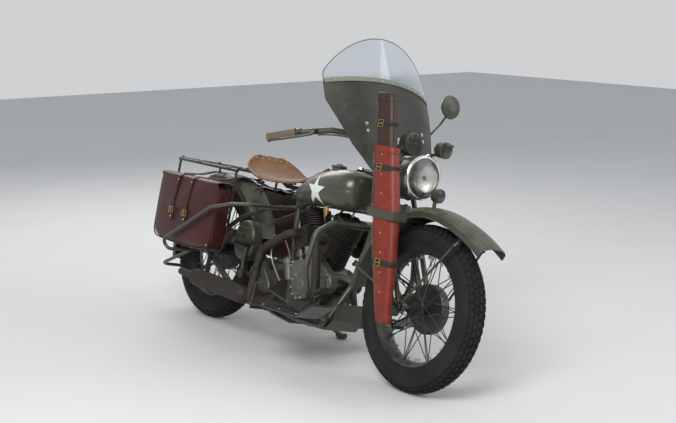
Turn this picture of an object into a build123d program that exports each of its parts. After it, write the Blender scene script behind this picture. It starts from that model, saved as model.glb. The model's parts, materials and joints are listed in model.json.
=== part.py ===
from build123d import *
import math
import os

# Solo military motorcycle with a two-cylinder V engine, parked on its side stand.
# Every piece is modelled on the upright machine: X forward from the rear axle,
# Y to the rider's left, Z up from the ground. park() then leans it and moves it
# so that the origin is on the floor at the middle of the parked machine.

os.makedirs("parts", exist_ok=True)

# driving dimensions, mm and degrees
WHEELBASE = 1460.0
TYRE_RADIUS = 333.0
TYRE_TUBE = 52.0
RIM_BED = 229.7
RIM_EDGE = 242.0
RIM_INSIDE = 212.0
RAKE = 28.0
TRAIL = 70.0
LEAN = 13.1
FIT = 0.3

PARKED_X = -703.0
PARKED_Y = -193.0

AXLE_Z = TYRE_RADIUS
AXIS_AT_GROUND = WHEELBASE + TRAIL
CRANK_X = 0.548 * WHEELBASE
GEARBOX_X = 0.329 * WHEELBASE
SEAT_X = 0.3753 * WHEELBASE
LIFT = TYRE_TUBE * (1 - math.cos(math.radians(LEAN)))


# placing and drawing helpers

def park(shape):
    """Lean an upright shape to the left and set it over the origin."""
    stance = Location((PARKED_X, PARKED_Y, LIFT)) * Location((0, 0, 0), (-LEAN, 0, 0))
    return shape.moved(stance)


def save(name, *shapes):
    """Write one node. Several shapes stay separate solids of that node."""
    solids = [solid for shape in shapes for solid in shape.solids()]
    node = solids[0] if len(solids) == 1 else Compound(children=solids)
    export_step(park(node), f"parts/{name}.step")


def unlean(x, y, z):
    """Upright position of a point given on the leaned machine above its tyre line."""
    turn = math.radians(LEAN)
    up = z - LIFT
    return (x, y * math.cos(turn) - up * math.sin(turn), y * math.sin(turn) + up * math.cos(turn))


def ahead_of(place, points):
    """Points whose x is measured ahead of a place along the machine."""
    return [(place + x, y, z) for x, y, z in points]


def fork_point(ahead, along, y=0.0):
    """Point measured ahead of the steering axis and up along it."""
    turn = math.radians(RAKE)
    x = AXIS_AT_GROUND + ahead * math.cos(turn) - along * math.sin(turn)
    return (x, y, ahead * math.sin(turn) + along * math.cos(turn))


def fork_place(x, z):
    """Distances ahead of the steering axis and along it of a point in side view."""
    turn = math.radians(RAKE)
    back = x - AXIS_AT_GROUND
    return (back * math.cos(turn) + z * math.sin(turn), z * math.cos(turn) - back * math.sin(turn))


def rod(start, end, radius):
    """Round bar between two points."""
    run = Vector(*end) - Vector(*start)
    return extrude(Plane(origin=start, z_dir=run) * Circle(radius), amount=run.length)


def bent_path(points, bend):
    """Straight runs joined by arcs of one bend radius."""
    corners = [Vector(*point) for point in points]
    edges = []
    start = corners[0]
    for before, corner, after in zip(corners, corners[1:], corners[2:]):
        inward = (corner - before).normalized()
        outward = (after - corner).normalized()
        half_turn = math.acos(max(-1.0, min(1.0, inward.dot(outward)))) / 2
        trim = bend * math.tan(half_turn)
        arc_start = corner - inward * trim
        arc_end = corner + outward * trim
        centre = corner + (outward - inward).normalized() * (bend / math.cos(half_turn))
        middle = centre + (corner - centre).normalized() * bend
        edges.append(Line(start, arc_start))
        edges.append(ThreePointArc(arc_start, middle, arc_end))
        start = arc_end
    edges.append(Line(start, corners[-1]))
    return Wire(edges)


def tube(points, radius, bend):
    """Round tube that follows bent_path."""
    path = bent_path(points, bend)
    section = Plane(origin=points[0], z_dir=path % 0) * Circle(radius)
    return sweep(section, path=path)


def across(outline, y_low, y_high):
    """Side-view outline in X and Z, extruded between two widths."""
    return extrude(Plane.XZ.offset(-y_high) * outline, amount=y_high - y_low)


def polygon(points):
    """Closed flat outline through points."""
    return make_face(Polyline(points, close=True))


def circle_hull(circles):
    """Flat outline round several (x, z, radius) circles."""
    return make_hull([Edge.make_circle(radius).moved(Location((x, z, 0))) for x, z, radius in circles])


def turned(points, x, z):
    """Ring with a closed section of (width, radius) points about a cross axle."""
    outline = polygon([(width, z + radius) for width, radius in points])
    return revolve(Plane.YZ.offset(x) * outline, Axis((x, 0, z), (0, 1, 0)))


def side_of(direction):
    """Any unit vector square to a direction."""
    guide = Vector(0, 0, 1) if abs(direction.Z) < 0.9 else Vector(1, 0, 0)
    return direction.cross(guide).normalized()


def spun(profile, origin, direction):
    """Solid of revolution from (distance, radius) points along a direction."""
    along = Vector(*direction).normalized()
    frame = Plane(origin=origin, x_dir=along, z_dir=side_of(along))
    return revolve(frame * polygon(profile), Axis(origin, tuple(along)))


def drum(x, z, radius, y_low, y_high):
    """Cylinder about a cross axis."""
    return Pos(x, (y_low + y_high) / 2, z) * Rot(90, 0, 0) * Cylinder(radius, y_high - y_low)


def mirrored(shape):
    """The same piece on the other side of the machine."""
    return mirror(shape, about=Plane.XZ)


# wheels

HUB_HALF = 60.0
AXLE_RADIUS = 9.0
AXLE_BORE = 9.1
SPOKE_RADIUS = 2.2
SPOKES_PER_SIDE = 20
FLANGE_RADIUS = 46.0
FLANGE_Y = 34.0
DRUM_RADIUS = 100.0
DRUM_Y = (22.0, 56.0)
REAR_SPROCKET = 82.0
CHAIN_Y = 72.0
SPROCKET_HALF = 4.0


def tyre(x):
    """Closed tyre ring whose widest points stand LEAN from its crown."""
    ring = TYRE_RADIUS - TYRE_TUBE
    angles = [LEAN, 40.0, 67.0, 95.0]
    side = [(TYRE_TUBE * math.sin(math.radians(a)), ring + TYRE_TUBE * math.cos(math.radians(a))) for a in angles]
    side += [(44.0, 252.0), (36.2, RIM_EDGE + 1), (36.2, RIM_BED + FIT)]
    other = [(-width, radius) for width, radius in reversed(side)]
    return turned(side + other, x, AXLE_Z)


def rim(x):
    """Channel rim that the tyre beads sit in."""
    side = [(12.0, RIM_INSIDE), (22.0, 218.0), (31.0, 224.5), (41.0, 230.0), (41.0, RIM_EDGE)]
    side += [(36.5, RIM_EDGE), (36.5, RIM_BED)]
    other = [(-width, radius) for width, radius in reversed(side)]
    return turned(side + other, x, AXLE_Z)


def spokes(x):
    """Crossed spokes from both hub flanges to the rim."""
    pieces = []
    step = 360.0 / SPOKES_PER_SIDE
    for side in (1, -1):
        for index in range(SPOKES_PER_SIDE):
            lead = 1 if index % 2 else -1
            hub_angle = math.radians(step * (index + (0.25 if side < 0 else 0)))
            rim_angle = hub_angle + math.radians(62.0 * lead - step * 0.25)
            hub_y = side * (FLANGE_Y + 3.0 * lead)
            start = (x + 40.0 * math.cos(hub_angle), hub_y, AXLE_Z + 40.0 * math.sin(hub_angle))
            reach = RIM_INSIDE + 2.0
            end = (x + reach * math.cos(rim_angle), side * 7.0, AXLE_Z + reach * math.sin(rim_angle))
            run = Vector(*end) - Vector(*start)
            section = Plane(origin=start, z_dir=run) * RegularPolygon(SPOKE_RADIUS, 6)
            pieces.append(extrude(section, amount=run.length))
    return pieces


def hub(x):
    """Hub with two spoke flanges and a brake drum on the left."""
    body = [(-HUB_HALF, AXLE_BORE), (-HUB_HALF, 22.0), (-FLANGE_Y - 5, 28.0), (-FLANGE_Y - 5, FLANGE_RADIUS)]
    body += [(-FLANGE_Y + 5, FLANGE_RADIUS), (-FLANGE_Y + 5, 28.0), (DRUM_Y[0], 28.0), (DRUM_Y[0], DRUM_RADIUS - 6)]
    body += [(DRUM_Y[0] + 6, DRUM_RADIUS), (DRUM_Y[1], DRUM_RADIUS), (DRUM_Y[1], 30.0), (HUB_HALF, 30.0)]
    body += [(HUB_HALF, AXLE_BORE)]
    return turned(body, x, AXLE_Z)


def sprocket():
    """Rear sprocket with its carrier outside the brake drum."""
    carrier = turned([(DRUM_Y[1] - 1, 30), (DRUM_Y[1] - 1, 52), (CHAIN_Y, 60), (CHAIN_Y, 30)], 0, AXLE_Z)
    low = CHAIN_Y - SPROCKET_HALF
    high = CHAIN_Y + SPROCKET_HALF
    return carrier + turned([(low, 30), (low, REAR_SPROCKET), (high, REAR_SPROCKET), (high, 30)], 0, AXLE_Z)


save("front_tyre", tyre(WHEELBASE))
save("rear_tyre", tyre(0.0))
save("front_wheel", hub(WHEELBASE) + rim(WHEELBASE) + spokes(WHEELBASE))
save("rear_wheel", hub(0.0) + sprocket() + rim(0.0) + spokes(0.0))


# frame

HEAD_LOW = 800.0
HEAD_HIGH = 955.0
STEM_RADIUS = 17.0
HEAD_BORE = 18.0
HEAD_RADIUS = 29.0
MAIN_TUBE = 16.0
RAIL_TUBE = 14.0
STAY_TUBE = 11.0
RAIL_Y = 95.0
RAIL_Z = 150.0
CROSS_TOP = 170.0
CROSS_TUBE = 12.0
CROSS_REAR_X = GEARBOX_X - 80.0
CROSS_SEAT_X = GEARBOX_X + 118.0
CROSS_ENGINE_X = CRANK_X - 140.0
CROSS_FRONT_X = CRANK_X + 150.0
PLATE_Y = (88.0, 100.0)
PLATE_OUTLINE = [(-38, 318), (-30, 362), (20, 372), (95, 345), (60, 300), (-20, 300)]
STAY_KNEE = (250.0, 505.0)
STAY_TOP = (440.0, 578.0)
STAND_PIN = 8.0
STAND_BORE = 8.1
STAND_EYE = 16.0
STAND_EYE_HALF = 11.0
STAND_LUG = 8.0
FOOT_RADIUS = 14.0

AXIS_UP = (-math.sin(math.radians(RAKE)), 0.0, math.cos(math.radians(RAKE)))
DOWN_HIGH = fork_point(-20, 832)
DOWN_LOW = (CRANK_X + 222, 0, 330)
STAND_PIVOT = Vector(CROSS_ENGINE_X - 5, RAIL_Y + 31, RAIL_Z - 8)
STAND_FOOT = Vector(*unlean(CROSS_ENGINE_X + 30, 268.0, FOOT_RADIUS))
STAND_STOWED = Vector(-150.0, 34.0, 6.0)
STAND_AXIS = (STAND_FOOT - STAND_PIVOT).cross(STAND_STOWED).normalized()


def head_tube():
    """Hollow steering head along the steering axis."""
    length = HEAD_HIGH - HEAD_LOW
    wall = [(0, HEAD_BORE), (0, 34), (14, 34), (22, HEAD_RADIUS), (length - 22, HEAD_RADIUS)]
    wall += [(length - 14, 34), (length, 34), (length, HEAD_BORE)]
    return spun(wall, fork_point(0, HEAD_LOW), AXIS_UP)


def rear_stay_z(x):
    """Height of the rear stay's middle line at x, ahead of its knee."""
    share = (x - STAY_KNEE[0]) / (STAY_TOP[0] - STAY_KNEE[0])
    return STAY_KNEE[1] + share * (STAY_TOP[1] - STAY_KNEE[1])


def frame_side(side):
    """Lower rail, rear stay and axle plate of one side."""
    y = side * RAIL_Y
    front = ahead_of(CRANK_X, [(218, 0, 345), (185, side * (RAIL_Y - 10), RAIL_Z + 12), (100, y, RAIL_Z)])
    rail = tube(front + [(GEARBOX_X - 100, y, RAIL_Z), (230, y, 215), (20, y, 322)], RAIL_TUBE, 40)
    stay = tube([(SEAT_X + 4, side * 12, 606), (STAY_TOP[0], y, STAY_TOP[1]), (STAY_KNEE[0], y, STAY_KNEE[1]),
                 (15, y, 352)], STAY_TUBE, 45)
    plate = across(polygon(PLATE_OUTLINE), *PLATE_Y)
    return rail + stay + (plate if side > 0 else mirrored(plate))


def stand_lug():
    """Lug under the left rail with the pin of the side stand."""
    low = STAND_PIVOT - STAND_AXIS * (STAND_EYE_HALF + FIT + STAND_LUG)
    seat = Plane(origin=low, x_dir=STAND_AXIS.cross(Vector(1, 0, 0)), z_dir=STAND_AXIS)
    inner = seat.to_local_coords(Vector(STAND_PIVOT.X, RAIL_Y + 3, RAIL_Z))
    plate = extrude(seat * circle_hull([(0, 0, 15), (inner.X, inner.Y, 9)]), amount=STAND_LUG)
    top = STAND_PIVOT + STAND_AXIS * (STAND_EYE_HALF + FIT)
    return plate + rod(low, top, STAND_PIN) + rod(top, top + STAND_AXIS * 5, STAND_PIN + 5)


def main_frame():
    """Tube frame with lower rails, rear stays, axle and the side stand lug."""
    backbone = tube([fork_point(-22, 905), (CRANK_X, 0, 740), (SEAT_X + 4, 0, 610)], MAIN_TUBE, 120)
    down = rod(DOWN_HIGH, DOWN_LOW, MAIN_TUBE)
    seat_tube = rod((SEAT_X, 0, 640), (CROSS_SEAT_X, 0, CROSS_TOP - CROSS_TUBE), MAIN_TUBE)
    tubes = head_tube() + backbone + down + seat_tube
    for x in (CROSS_REAR_X, CROSS_SEAT_X, CROSS_ENGINE_X, CROSS_FRONT_X):
        tubes += drum(x, CROSS_TOP - CROSS_TUBE, CROSS_TUBE, -RAIL_Y, RAIL_Y)
    axle = drum(0, AXLE_Z, AXLE_RADIUS, -136, 136)
    nuts = drum(0, AXLE_Z, 15, PLATE_Y[1], PLATE_Y[1] + 12) + drum(0, AXLE_Z, 15, -PLATE_Y[1] - 12, -PLATE_Y[1])
    bore = rod(fork_point(0, HEAD_LOW - 5), fork_point(0, HEAD_HIGH + 5), HEAD_BORE)
    return (tubes + axle + nuts + frame_side(1) + frame_side(-1) + stand_lug()) - bore


# engine

CRANK = (CRANK_X, 0.0, 300.0)
V_HALF = 22.5
CASE_RADIUS = 118.0
CASE_HALF = 62.0
CASE_RIGHT = -66.0
BARREL_FOOT = 118.0
BARREL_TOP = 255.0
BARREL_FIN = 64.0
HEAD_TOP = 336.0
CHEST_FOOT = 160.0
CHEST_TOP = 250.0
CHEST_Y = (-91.0, -41.0)
TAPPET_OFFSET = 24.0
TAPPET_Y = -74.0
PORT_ALONG = 222.0


def cylinder_axis(lean_forward):
    """Unit vector up one cylinder."""
    turn = math.radians(lean_forward)
    return (math.sin(turn), 0.0, math.cos(turn))


def cylinder_point(lean_forward, along, ahead, y):
    """Point up one cylinder axis, ahead of it and across."""
    up = cylinder_axis(lean_forward)
    return (CRANK[0] + up[0] * along + up[2] * ahead, y, CRANK[2] + up[2] * along - up[0] * ahead)


def finned(low, high, core, fin, pitch, thick):
    """Comb outline of a finned barrel from low to high."""
    points = [(low, 0), (low, core)]
    at = low + pitch / 2
    while at + thick < high:
        points += [(at, core), (at, fin), (at + thick, fin), (at + thick, core)]
        at += pitch
    return points + [(high, core), (high, 0)]


def cylinder(lean_forward):
    """Finned barrel with its finned head, valve chest and spark plug."""
    up = cylinder_axis(lean_forward)
    barrel = spun(finned(BARREL_FOOT, BARREL_TOP, 44, BARREL_FIN, 11, 3.5), CRANK, up)
    head = spun(finned(BARREL_TOP, HEAD_TOP - 8, 50, 70, 10, 3.5), CRANK, up)
    cap = spun([(HEAD_TOP - 10, 0), (HEAD_TOP - 10, 62), (HEAD_TOP, 54), (HEAD_TOP, 0)], CRANK, up)
    plug = spun([(HEAD_TOP - 4, 0), (HEAD_TOP - 4, 12), (HEAD_TOP + 4, 12), (HEAD_TOP + 4, 7),
                 (HEAD_TOP + 14, 6), (HEAD_TOP + 14, 0)], CRANK, up)
    middle = cylinder_point(lean_forward, (CHEST_FOOT + CHEST_TOP) / 2, 0, sum(CHEST_Y) / 2)
    chest = Plane(origin=middle, z_dir=up, x_dir=(up[2], 0, -up[0])) * Box(
        92, CHEST_Y[1] - CHEST_Y[0], CHEST_TOP - CHEST_FOOT)
    return barrel + head + cap + plug + chest


COVER_LOW = -106.0
TIMING_COVER = [(-10, 288, 62), (155, 335, 44), (76, 392, 34), (-65, 360, 32)]


def crankcase():
    """Round flywheel case with its feet, timing cover, tappets and timer."""
    case = drum(CRANK[0], CRANK[2], CASE_RADIUS, CASE_RIGHT, CASE_HALF)
    foot = CROSS_TOP + FIT
    front = ahead_of(CROSS_FRONT_X, [(-30, 0, foot), (16, 0, foot), (25, 0, 235), (-50, 0, 330), (-70, 0, 215)])
    rear = ahead_of(CROSS_ENGINE_X, [(-16, 0, foot), (60, 0, foot + 20), (70, 0, 200), (50, 0, 300), (-10, 0, 250)])
    body = case + across(polygon([(x, z) for x, y, z in front]), -25, 25)
    body += across(polygon([(x, z) for x, y, z in rear]), -40, 40)
    cover = across(circle_hull([(CRANK_X + x, z, radius) for x, z, radius in TIMING_COVER]), COVER_LOW, CASE_RIGHT + 1)
    body += fillet(cover.faces().sort_by(Axis.Y)[0].edges(), 10)
    timer = ahead_of(CRANK_X, [(-98, -94, 300), (-118, -100, 366), (-121, -101, 380)])
    body += rod(timer[0], timer[1], 19) + rod(timer[1], timer[2], 25)
    for lean in (V_HALF, -V_HALF):
        for offset in (-TAPPET_OFFSET, TAPPET_OFFSET):
            top = cylinder_point(lean, CHEST_FOOT - FIT, offset, TAPPET_Y)
            body += rod(cylinder_point(lean, 84, offset, TAPPET_Y), top, 13)
    return body


save("main_frame", main_frame())
save("cylinders", cylinder(V_HALF), cylinder(-V_HALF))
save("crankcase", crankcase())


# drive line

SPROCKET_X = GEARBOX_X - 10.0
SPROCKET_Z = 290.0
CLUTCH_X = GEARBOX_X + 10.0
CHAIN_HALF = 6.0
GEAR_SPROCKET = 40.0
CHAIN_GAP = 1.5
CHAIN_DEEP = 9.0
COVER_Y = (86.0, 148.0)
KICK_X = GEARBOX_X - 25.0
KICK_Z = 275.0
KICK_SHAFT_END = -164.0
GEARBOX_OUTLINE = [(-80, 178), (-80, 320), (-50, 345), (60, 345), (80, 325), (80, 178)]
GEARBOX_HALF = 58.0
LID_TOP = 356.0


def transmission():
    """Gearbox with its lid, mounting plates and kick starter cover."""
    body = across(polygon([(GEARBOX_X + x, z) for x, z in GEARBOX_OUTLINE]), -GEARBOX_HALF, GEARBOX_HALF)
    cover = across(circle_hull([(KICK_X, KICK_Z, 62), (GEARBOX_X + 50, 240, 30)]), -96, -GEARBOX_HALF)
    cover = fillet(cover.faces().sort_by(Axis.Y)[0].edges(), 8)
    shaft = drum(KICK_X, KICK_Z, 11, KICK_SHAFT_END, -95)
    output = drum(SPROCKET_X, SPROCKET_Z, GEAR_SPROCKET, CHAIN_Y - 8, CHAIN_Y + 8)
    output += drum(SPROCKET_X, SPROCKET_Z, 18, GEARBOX_HALF - 1, CHAIN_Y - 8)
    output += drum(CLUTCH_X, SPROCKET_Z, 20, CHAIN_Y + 7, COVER_Y[0] - FIT)
    lid = Pos(GEARBOX_X, 0, (345 + LID_TOP) / 2) * Box(105, 90, LID_TOP - 345)
    top = polygon([(CROSS_REAR_X - 12, CROSS_TOP + FIT), (CROSS_REAR_X - 12, 179), (CROSS_SEAT_X + 10, 179),
                   (CROSS_SEAT_X + 10, CROSS_TOP + FIT)])
    plate = across(top, MAIN_TUBE + 6, GEARBOX_HALF - 8)
    return body + cover + shaft + output + lid + plate + mirrored(plate)


def primary_cover():
    """Oval chain cover over the engine sprocket and the clutch."""
    shell = across(circle_hull([(CRANK[0], CRANK[2], 84), (CLUTCH_X, SPROCKET_Z, 102)]), *COVER_Y)
    shell = fillet(shell.faces().sort_by(Axis.Y)[-1].edges(), 16)
    boss = drum(CRANK[0], CRANK[2], 48, CASE_HALF + FIT, COVER_Y[0] + 1)
    clutch = drum(CLUTCH_X, SPROCKET_Z, 56, COVER_Y[1] - 1, COVER_Y[1] + 12)
    return shell + boss + clutch


def drive_chain():
    """Closed loop of the rear drive chain."""
    outer = circle_hull([(0, AXLE_Z, REAR_SPROCKET + CHAIN_GAP + CHAIN_DEEP),
                         (SPROCKET_X, SPROCKET_Z, GEAR_SPROCKET + FIT + CHAIN_DEEP)])
    inner = circle_hull([(0, AXLE_Z, REAR_SPROCKET + CHAIN_GAP), (SPROCKET_X, SPROCKET_Z, GEAR_SPROCKET + FIT)])
    loop = across(outer, CHAIN_Y - CHAIN_HALF, CHAIN_Y + CHAIN_HALF)
    return loop - across(inner, CHAIN_Y - CHAIN_HALF - 1, CHAIN_Y + CHAIN_HALF + 1)


def generator():
    """Round generator in front of the crankcase."""
    x = CRANK_X + 158
    return drum(x, 338, 39, CASE_RIGHT + 1 + FIT, 72) + drum(x, 338, 26, 71, 80)


INTAKE_Z = 530.0
MANIFOLD_RADIUS = (INTAKE_Z - CRANK[2]) * math.sin(math.radians(V_HALF)) - BARREL_FIN - FIT
AIR_CLEANER_Y = 158.3
AIR_CLEANER_Z = 520.0


def carburettor():
    """Intake manifold between the barrels with the carburettor on the left."""
    manifold = drum(CRANK_X, INTAKE_Z, MANIFOLD_RADIUS, -30, 40) + drum(CRANK_X, INTAKE_Z, 16, 39, 96)
    bowl = Pos(CRANK_X, 118, AIR_CLEANER_Z) * Box(52, 46, 74)
    return manifold + bowl + drum(CRANK_X, AIR_CLEANER_Z + 10, 24, 140, AIR_CLEANER_Y - FIT)


def air_cleaner():
    """Oil-bath air cleaner drum on the left."""
    profile = [(0, 0), (0, 70), (8, 84), (58, 84), (66, 78), (74, 60), (74, 0)]
    return spun(profile, (CRANK_X, AIR_CLEANER_Y, AIR_CLEANER_Z), (0, 1, 0))


EXHAUST_RADIUS = 19.0
EXHAUST_START_Y = CHEST_Y[0] - FIT
MUFFLER_Y = -160.0
MUFFLER_Z = 182.0
MUFFLER_FRONT_X = GEARBOX_X + 18.0


def exhaust_pipes():
    """Front and rear exhaust pipes that meet ahead of the muffler."""
    port = cylinder_point(V_HALF, PORT_ALONG, 4, EXHAUST_START_Y)
    front = [port, (port[0], -142, port[2])]
    front += ahead_of(CRANK_X, [(122, -142, 440), (162, -144, 262), (100, -148, MUFFLER_Z)])
    front += [(MUFFLER_FRONT_X + 1.3, MUFFLER_Y, MUFFLER_Z)]
    port = cylinder_point(-V_HALF, PORT_ALONG, -4, EXHAUST_START_Y)
    rear = [port, (port[0], -142, port[2])]
    rear += ahead_of(GEARBOX_X, [(48, -142, 400), (30, -142, 300), (40, MUFFLER_Y, MUFFLER_Z)])
    return tube(front, EXHAUST_RADIUS, 32) + tube(rear, EXHAUST_RADIUS, 32)


def muffler():
    """Round muffler with a short tail pipe and its hanger on the lower rail."""
    profile = [(0, 0), (0, 22), (18, 40), (430, 40), (452, 20), (570, 17), (570, 0)]
    body = spun(profile, (MUFFLER_FRONT_X, MUFFLER_Y, MUFFLER_Z), (-1, 0, 0.02))
    seat = -(RAIL_Y + RAIL_TUBE + FIT)
    hanger = across(polygon([(60, 190), (60, 304), (92, 304), (92, 190)]), seat - 4, seat)
    return body + hanger + rod((76, seat - 2, 205), (76, -150, 200), 8)


SKID_HALF = RAIL_Y - 10.5
SKID_TOP = RAIL_Z - math.sqrt(RAIL_TUBE ** 2 - (RAIL_Y - SKID_HALF) ** 2) - FIT
SKID_PLATE = 4.0


def skid_plate():
    """Curved steel plate under the engine, carried by the lower rails."""
    line = [(-240, SKID_TOP), (95, SKID_TOP), (188, SKID_TOP + 4), (230, 192), (244, 262)]
    back = [(248, 261), (234, 190), (191, SKID_TOP), (96, SKID_TOP - SKID_PLATE), (-240, SKID_TOP - SKID_PLATE)]
    return across(polygon([(CRANK_X + x, z) for x, z in line + back]), -SKID_HALF, SKID_HALF)


save("transmission", transmission())
save("primary_cover", primary_cover())
save("drive_chain", drive_chain())
save("generator", generator())
save("carburettor", carburettor())
save("air_cleaner", air_cleaner())
save("exhaust_pipes", exhaust_pipes())
save("muffler", muffler())
save("skid_plate", skid_plate())


# bodywork

TANK_INNER = 19.0
TANK_STATIONS = [
    # share of the way from the seat tube to the head, low z, high z, width
    (0.0525, 640.0, 668.0, 30.0),
    (0.199, 634.0, 718.0, 84.0),
    (0.491, 639.0, 782.0, 128.0),
    (0.803, 642.0, 815.0, 138.0),
    (0.969, 662.0, 800.0, 104.0),
    (1.002, 700.0, 770.0, 60.0),
]
TANK_SPAN = fork_point(0, 1000)[0] + 1.5 - SEAT_X


def tank_section(share, low, high, width):
    """D-shaped section of one tank half, flat on its inner side."""
    tall = high - low
    line = Polyline((TANK_INNER + width * 0.5, low), (TANK_INNER, low), (TANK_INNER, high),
                    (TANK_INNER + width * 0.5, high))
    upper = ThreePointArc((TANK_INNER + width * 0.5, high), (TANK_INNER + width * 0.88, high - tall * 0.16),
                          (TANK_INNER + width, low + tall * 0.5))
    lower = ThreePointArc((TANK_INNER + width, low + tall * 0.5), (TANK_INNER + width * 0.88, low + tall * 0.16),
                          (TANK_INNER + width * 0.5, low))
    return Plane.YZ.offset(SEAT_X + share * TANK_SPAN) * make_face([line, upper, lower])


def tank_half():
    """Left half of the fuel tank with its filler cap."""
    body = loft([tank_section(*station) for station in TANK_STATIONS])
    return body + Pos(CRANK_X + 80, 75, 808) * Cylinder(30, 24)


def instrument_dash():
    """Instrument cover between the tanks, resting on the backbone."""
    line = [(-78, 761), (-35, 778), (160, 828), (210, 824), (210, 806), (160, 802), (-35, 758.5)]
    body = across(polygon([(CRANK_X + x, z) for x, z in line]), -TANK_INNER + FIT, TANK_INNER - FIT)
    dial = Plane(origin=(CRANK_X + 140, 0, 812), z_dir=(-0.3, 0, 1)) * Cylinder(17, 30)
    return body + dial


SADDLE_NOSE = (SEAT_X + 167.0, 786.0)
SADDLE_DIP = (SEAT_X - 78.0, 708.0)
SADDLE_TAIL = (SEAT_X - 286.0, 791.0)
SADDLE_THICK = 14.0
SADDLE_BAR = 9.0


def saddle_underside(x, below):
    """Height at x of a line that runs a distance below the saddle's curved underside."""
    (ax, az), (bx, bz), (cx, cz) = SADDLE_TAIL, SADDLE_DIP, SADDLE_NOSE
    turn = 2 * ((bx - ax) * (cz - az) - (bz - az) * (cx - ax))
    near = (bx - ax) ** 2 + (bz - az) ** 2
    far = (cx - ax) ** 2 + (cz - az) ** 2
    middle_x = ax + ((cz - az) * near - (bz - az) * far) / turn
    middle_z = az + ((bx - ax) * far - (cx - ax) * near) / turn
    reach = math.dist((ax, az), (middle_x, middle_z)) + below
    return middle_z - math.sqrt(reach ** 2 - (x - middle_x) ** 2)


def saddle():
    """Thin leather seat with a raised cantle."""
    nose, dip, tail = SADDLE_NOSE, SADDLE_DIP, SADDLE_TAIL
    plan = make_face([Polyline((nose[0] - 15, -38), (nose[0], -15), (nose[0], 15), (nose[0] - 15, 38),
                               (SEAT_X + 12, 75)),
                      ThreePointArc((SEAT_X + 12, 75), (SEAT_X - 128, 165), (tail[0] + 38, 150)),
                      ThreePointArc((tail[0] + 38, 150), (tail[0], 0), (tail[0] + 38, -150)),
                      ThreePointArc((tail[0] + 38, -150), (SEAT_X - 128, -165), (SEAT_X + 12, -75)),
                      Line((SEAT_X + 12, -75), (nose[0] - 15, -38))])
    high = [(x, z + SADDLE_THICK) for x, z in (nose, dip, tail)]
    side = make_face([ThreePointArc(*high), Line(high[2], tail), ThreePointArc(tail, dip, nose), Line(nose, high[0])])
    return extrude(Plane.XY.offset(690) * plan, amount=140) & across(side, -170, 170)


def saddle_post():
    """Sprung seat post with the bar that carries the saddle."""
    post = rod((SEAT_X, 0, 641), (SEAT_X - 7, 0, 688), 11)
    front_x, rear_x = SEAT_X + 138, SEAT_X - 203
    front_z = saddle_underside(front_x, SADDLE_BAR + FIT)
    rear_z = saddle_underside(rear_x, SADDLE_BAR + FIT)
    line = [(front_x, 0, front_z), (SEAT_X + 92, 0, 716), (SEAT_X - 7, 0, 690), (SEAT_X - 118, 0, 690)]
    return post + tube(line + [(rear_x, 0, rear_z)], SADDLE_BAR, 30) + drum(rear_x, rear_z, SADDLE_BAR, -110, 110)


FENDER_SIDE = 66.0
FENDER_SKIN = 2.5
REAR_CROWN = 363.0


def fender_skin(x, z, crown, start, end):
    """Fender skin about a cross axis, between two angles from straight up."""
    outer = [(FENDER_SIDE, crown - 46), (FENDER_SIDE, crown - 22), (FENDER_SIDE - 12, crown - 9),
             (FENDER_SIDE - 34, crown - 2), (0, crown)]
    inner = [(0, crown - FENDER_SKIN), (FENDER_SIDE - 35, crown - 4.5), (FENDER_SIDE - 13.2, crown - 11.5),
             (FENDER_SIDE - FENDER_SKIN, crown - 23), (FENDER_SIDE - FENDER_SKIN, crown - 46)]
    loop = outer + [(-w, r) for w, r in reversed(outer[:-1])]
    loop += [(-w, r) for w, r in reversed(inner[1:])] + inner
    face = Plane.YZ.offset(x) * polygon([(w, z + r) for w, r in loop])
    axis = Axis((x, 0, z), (0, 1, 0))
    return revolve(face.rotate(axis, start), axis, revolution_arc=end - start)


STAY_BRACKET_X = 275.0
RACK_BRACKET = (-272.0, 525.6)


def rear_fender():
    """Rear fender with the brackets that hold it to the stays and the rack."""
    body = fender_skin(0, AXLE_Z, REAR_CROWN, -108, 74)
    z = rear_stay_z(STAY_BRACKET_X)
    for side in (1, -1):
        y = side * (FENDER_SIDE - 2)
        body += rod((STAY_BRACKET_X, y, z), (STAY_BRACKET_X, side * (RAIL_Y - STAY_TUBE - FIT), z), 9)
        body += rod((RACK_BRACKET[0], y, RACK_BRACKET[1]), (RACK_BRACKET[0], side * 109.6, RACK_BRACKET[1]), 6)
    return body


RACK_Z = 716.0
RACK_RAIL_Y = 118.0
RACK_RAIL = 8.0
RACK_LEG = 6.0
RACK_BAR = 8.0
RACK_HOLE = 4.5
RACK_HOLE_X = (-200.0, 60.0)
RACK_HOLE_Y = 80.0


def luggage_rack():
    """Bar rack over the rear fender on four legs."""
    pieces = Pos(RACK_HOLE_X[0], 0, RACK_Z + 6) * Box(26, 2 * RACK_RAIL_Y, RACK_BAR)
    for x in (-322, -70, RACK_HOLE_X[1], 182):
        pieces += Pos(x, 0, RACK_Z + 6) * Box(26, 2 * RACK_RAIL_Y, RACK_BAR)
    for side in (1, -1):
        y = side * RACK_RAIL_Y
        pieces += rod((-330, y, RACK_Z), (190, y, RACK_Z), RACK_RAIL)
        foot = side * (PLATE_Y[1] + RACK_LEG + FIT)
        pieces += tube([(-322, y, RACK_Z), (-322, y, 560), (-20, foot, 352)], RACK_LEG, 30)
        pieces += rod((182, y, RACK_Z), (182, side * (RAIL_Y + STAY_TUBE + RACK_LEG + FIT), 452), RACK_LEG)
    for x in RACK_HOLE_X:
        for y in (-RACK_HOLE_Y, RACK_HOLE_Y):
            pieces -= Pos(x, y, RACK_Z + 6) * Cylinder(RACK_HOLE, 12)
    return pieces


TAIL_LAMP_Z = 520.0


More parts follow.
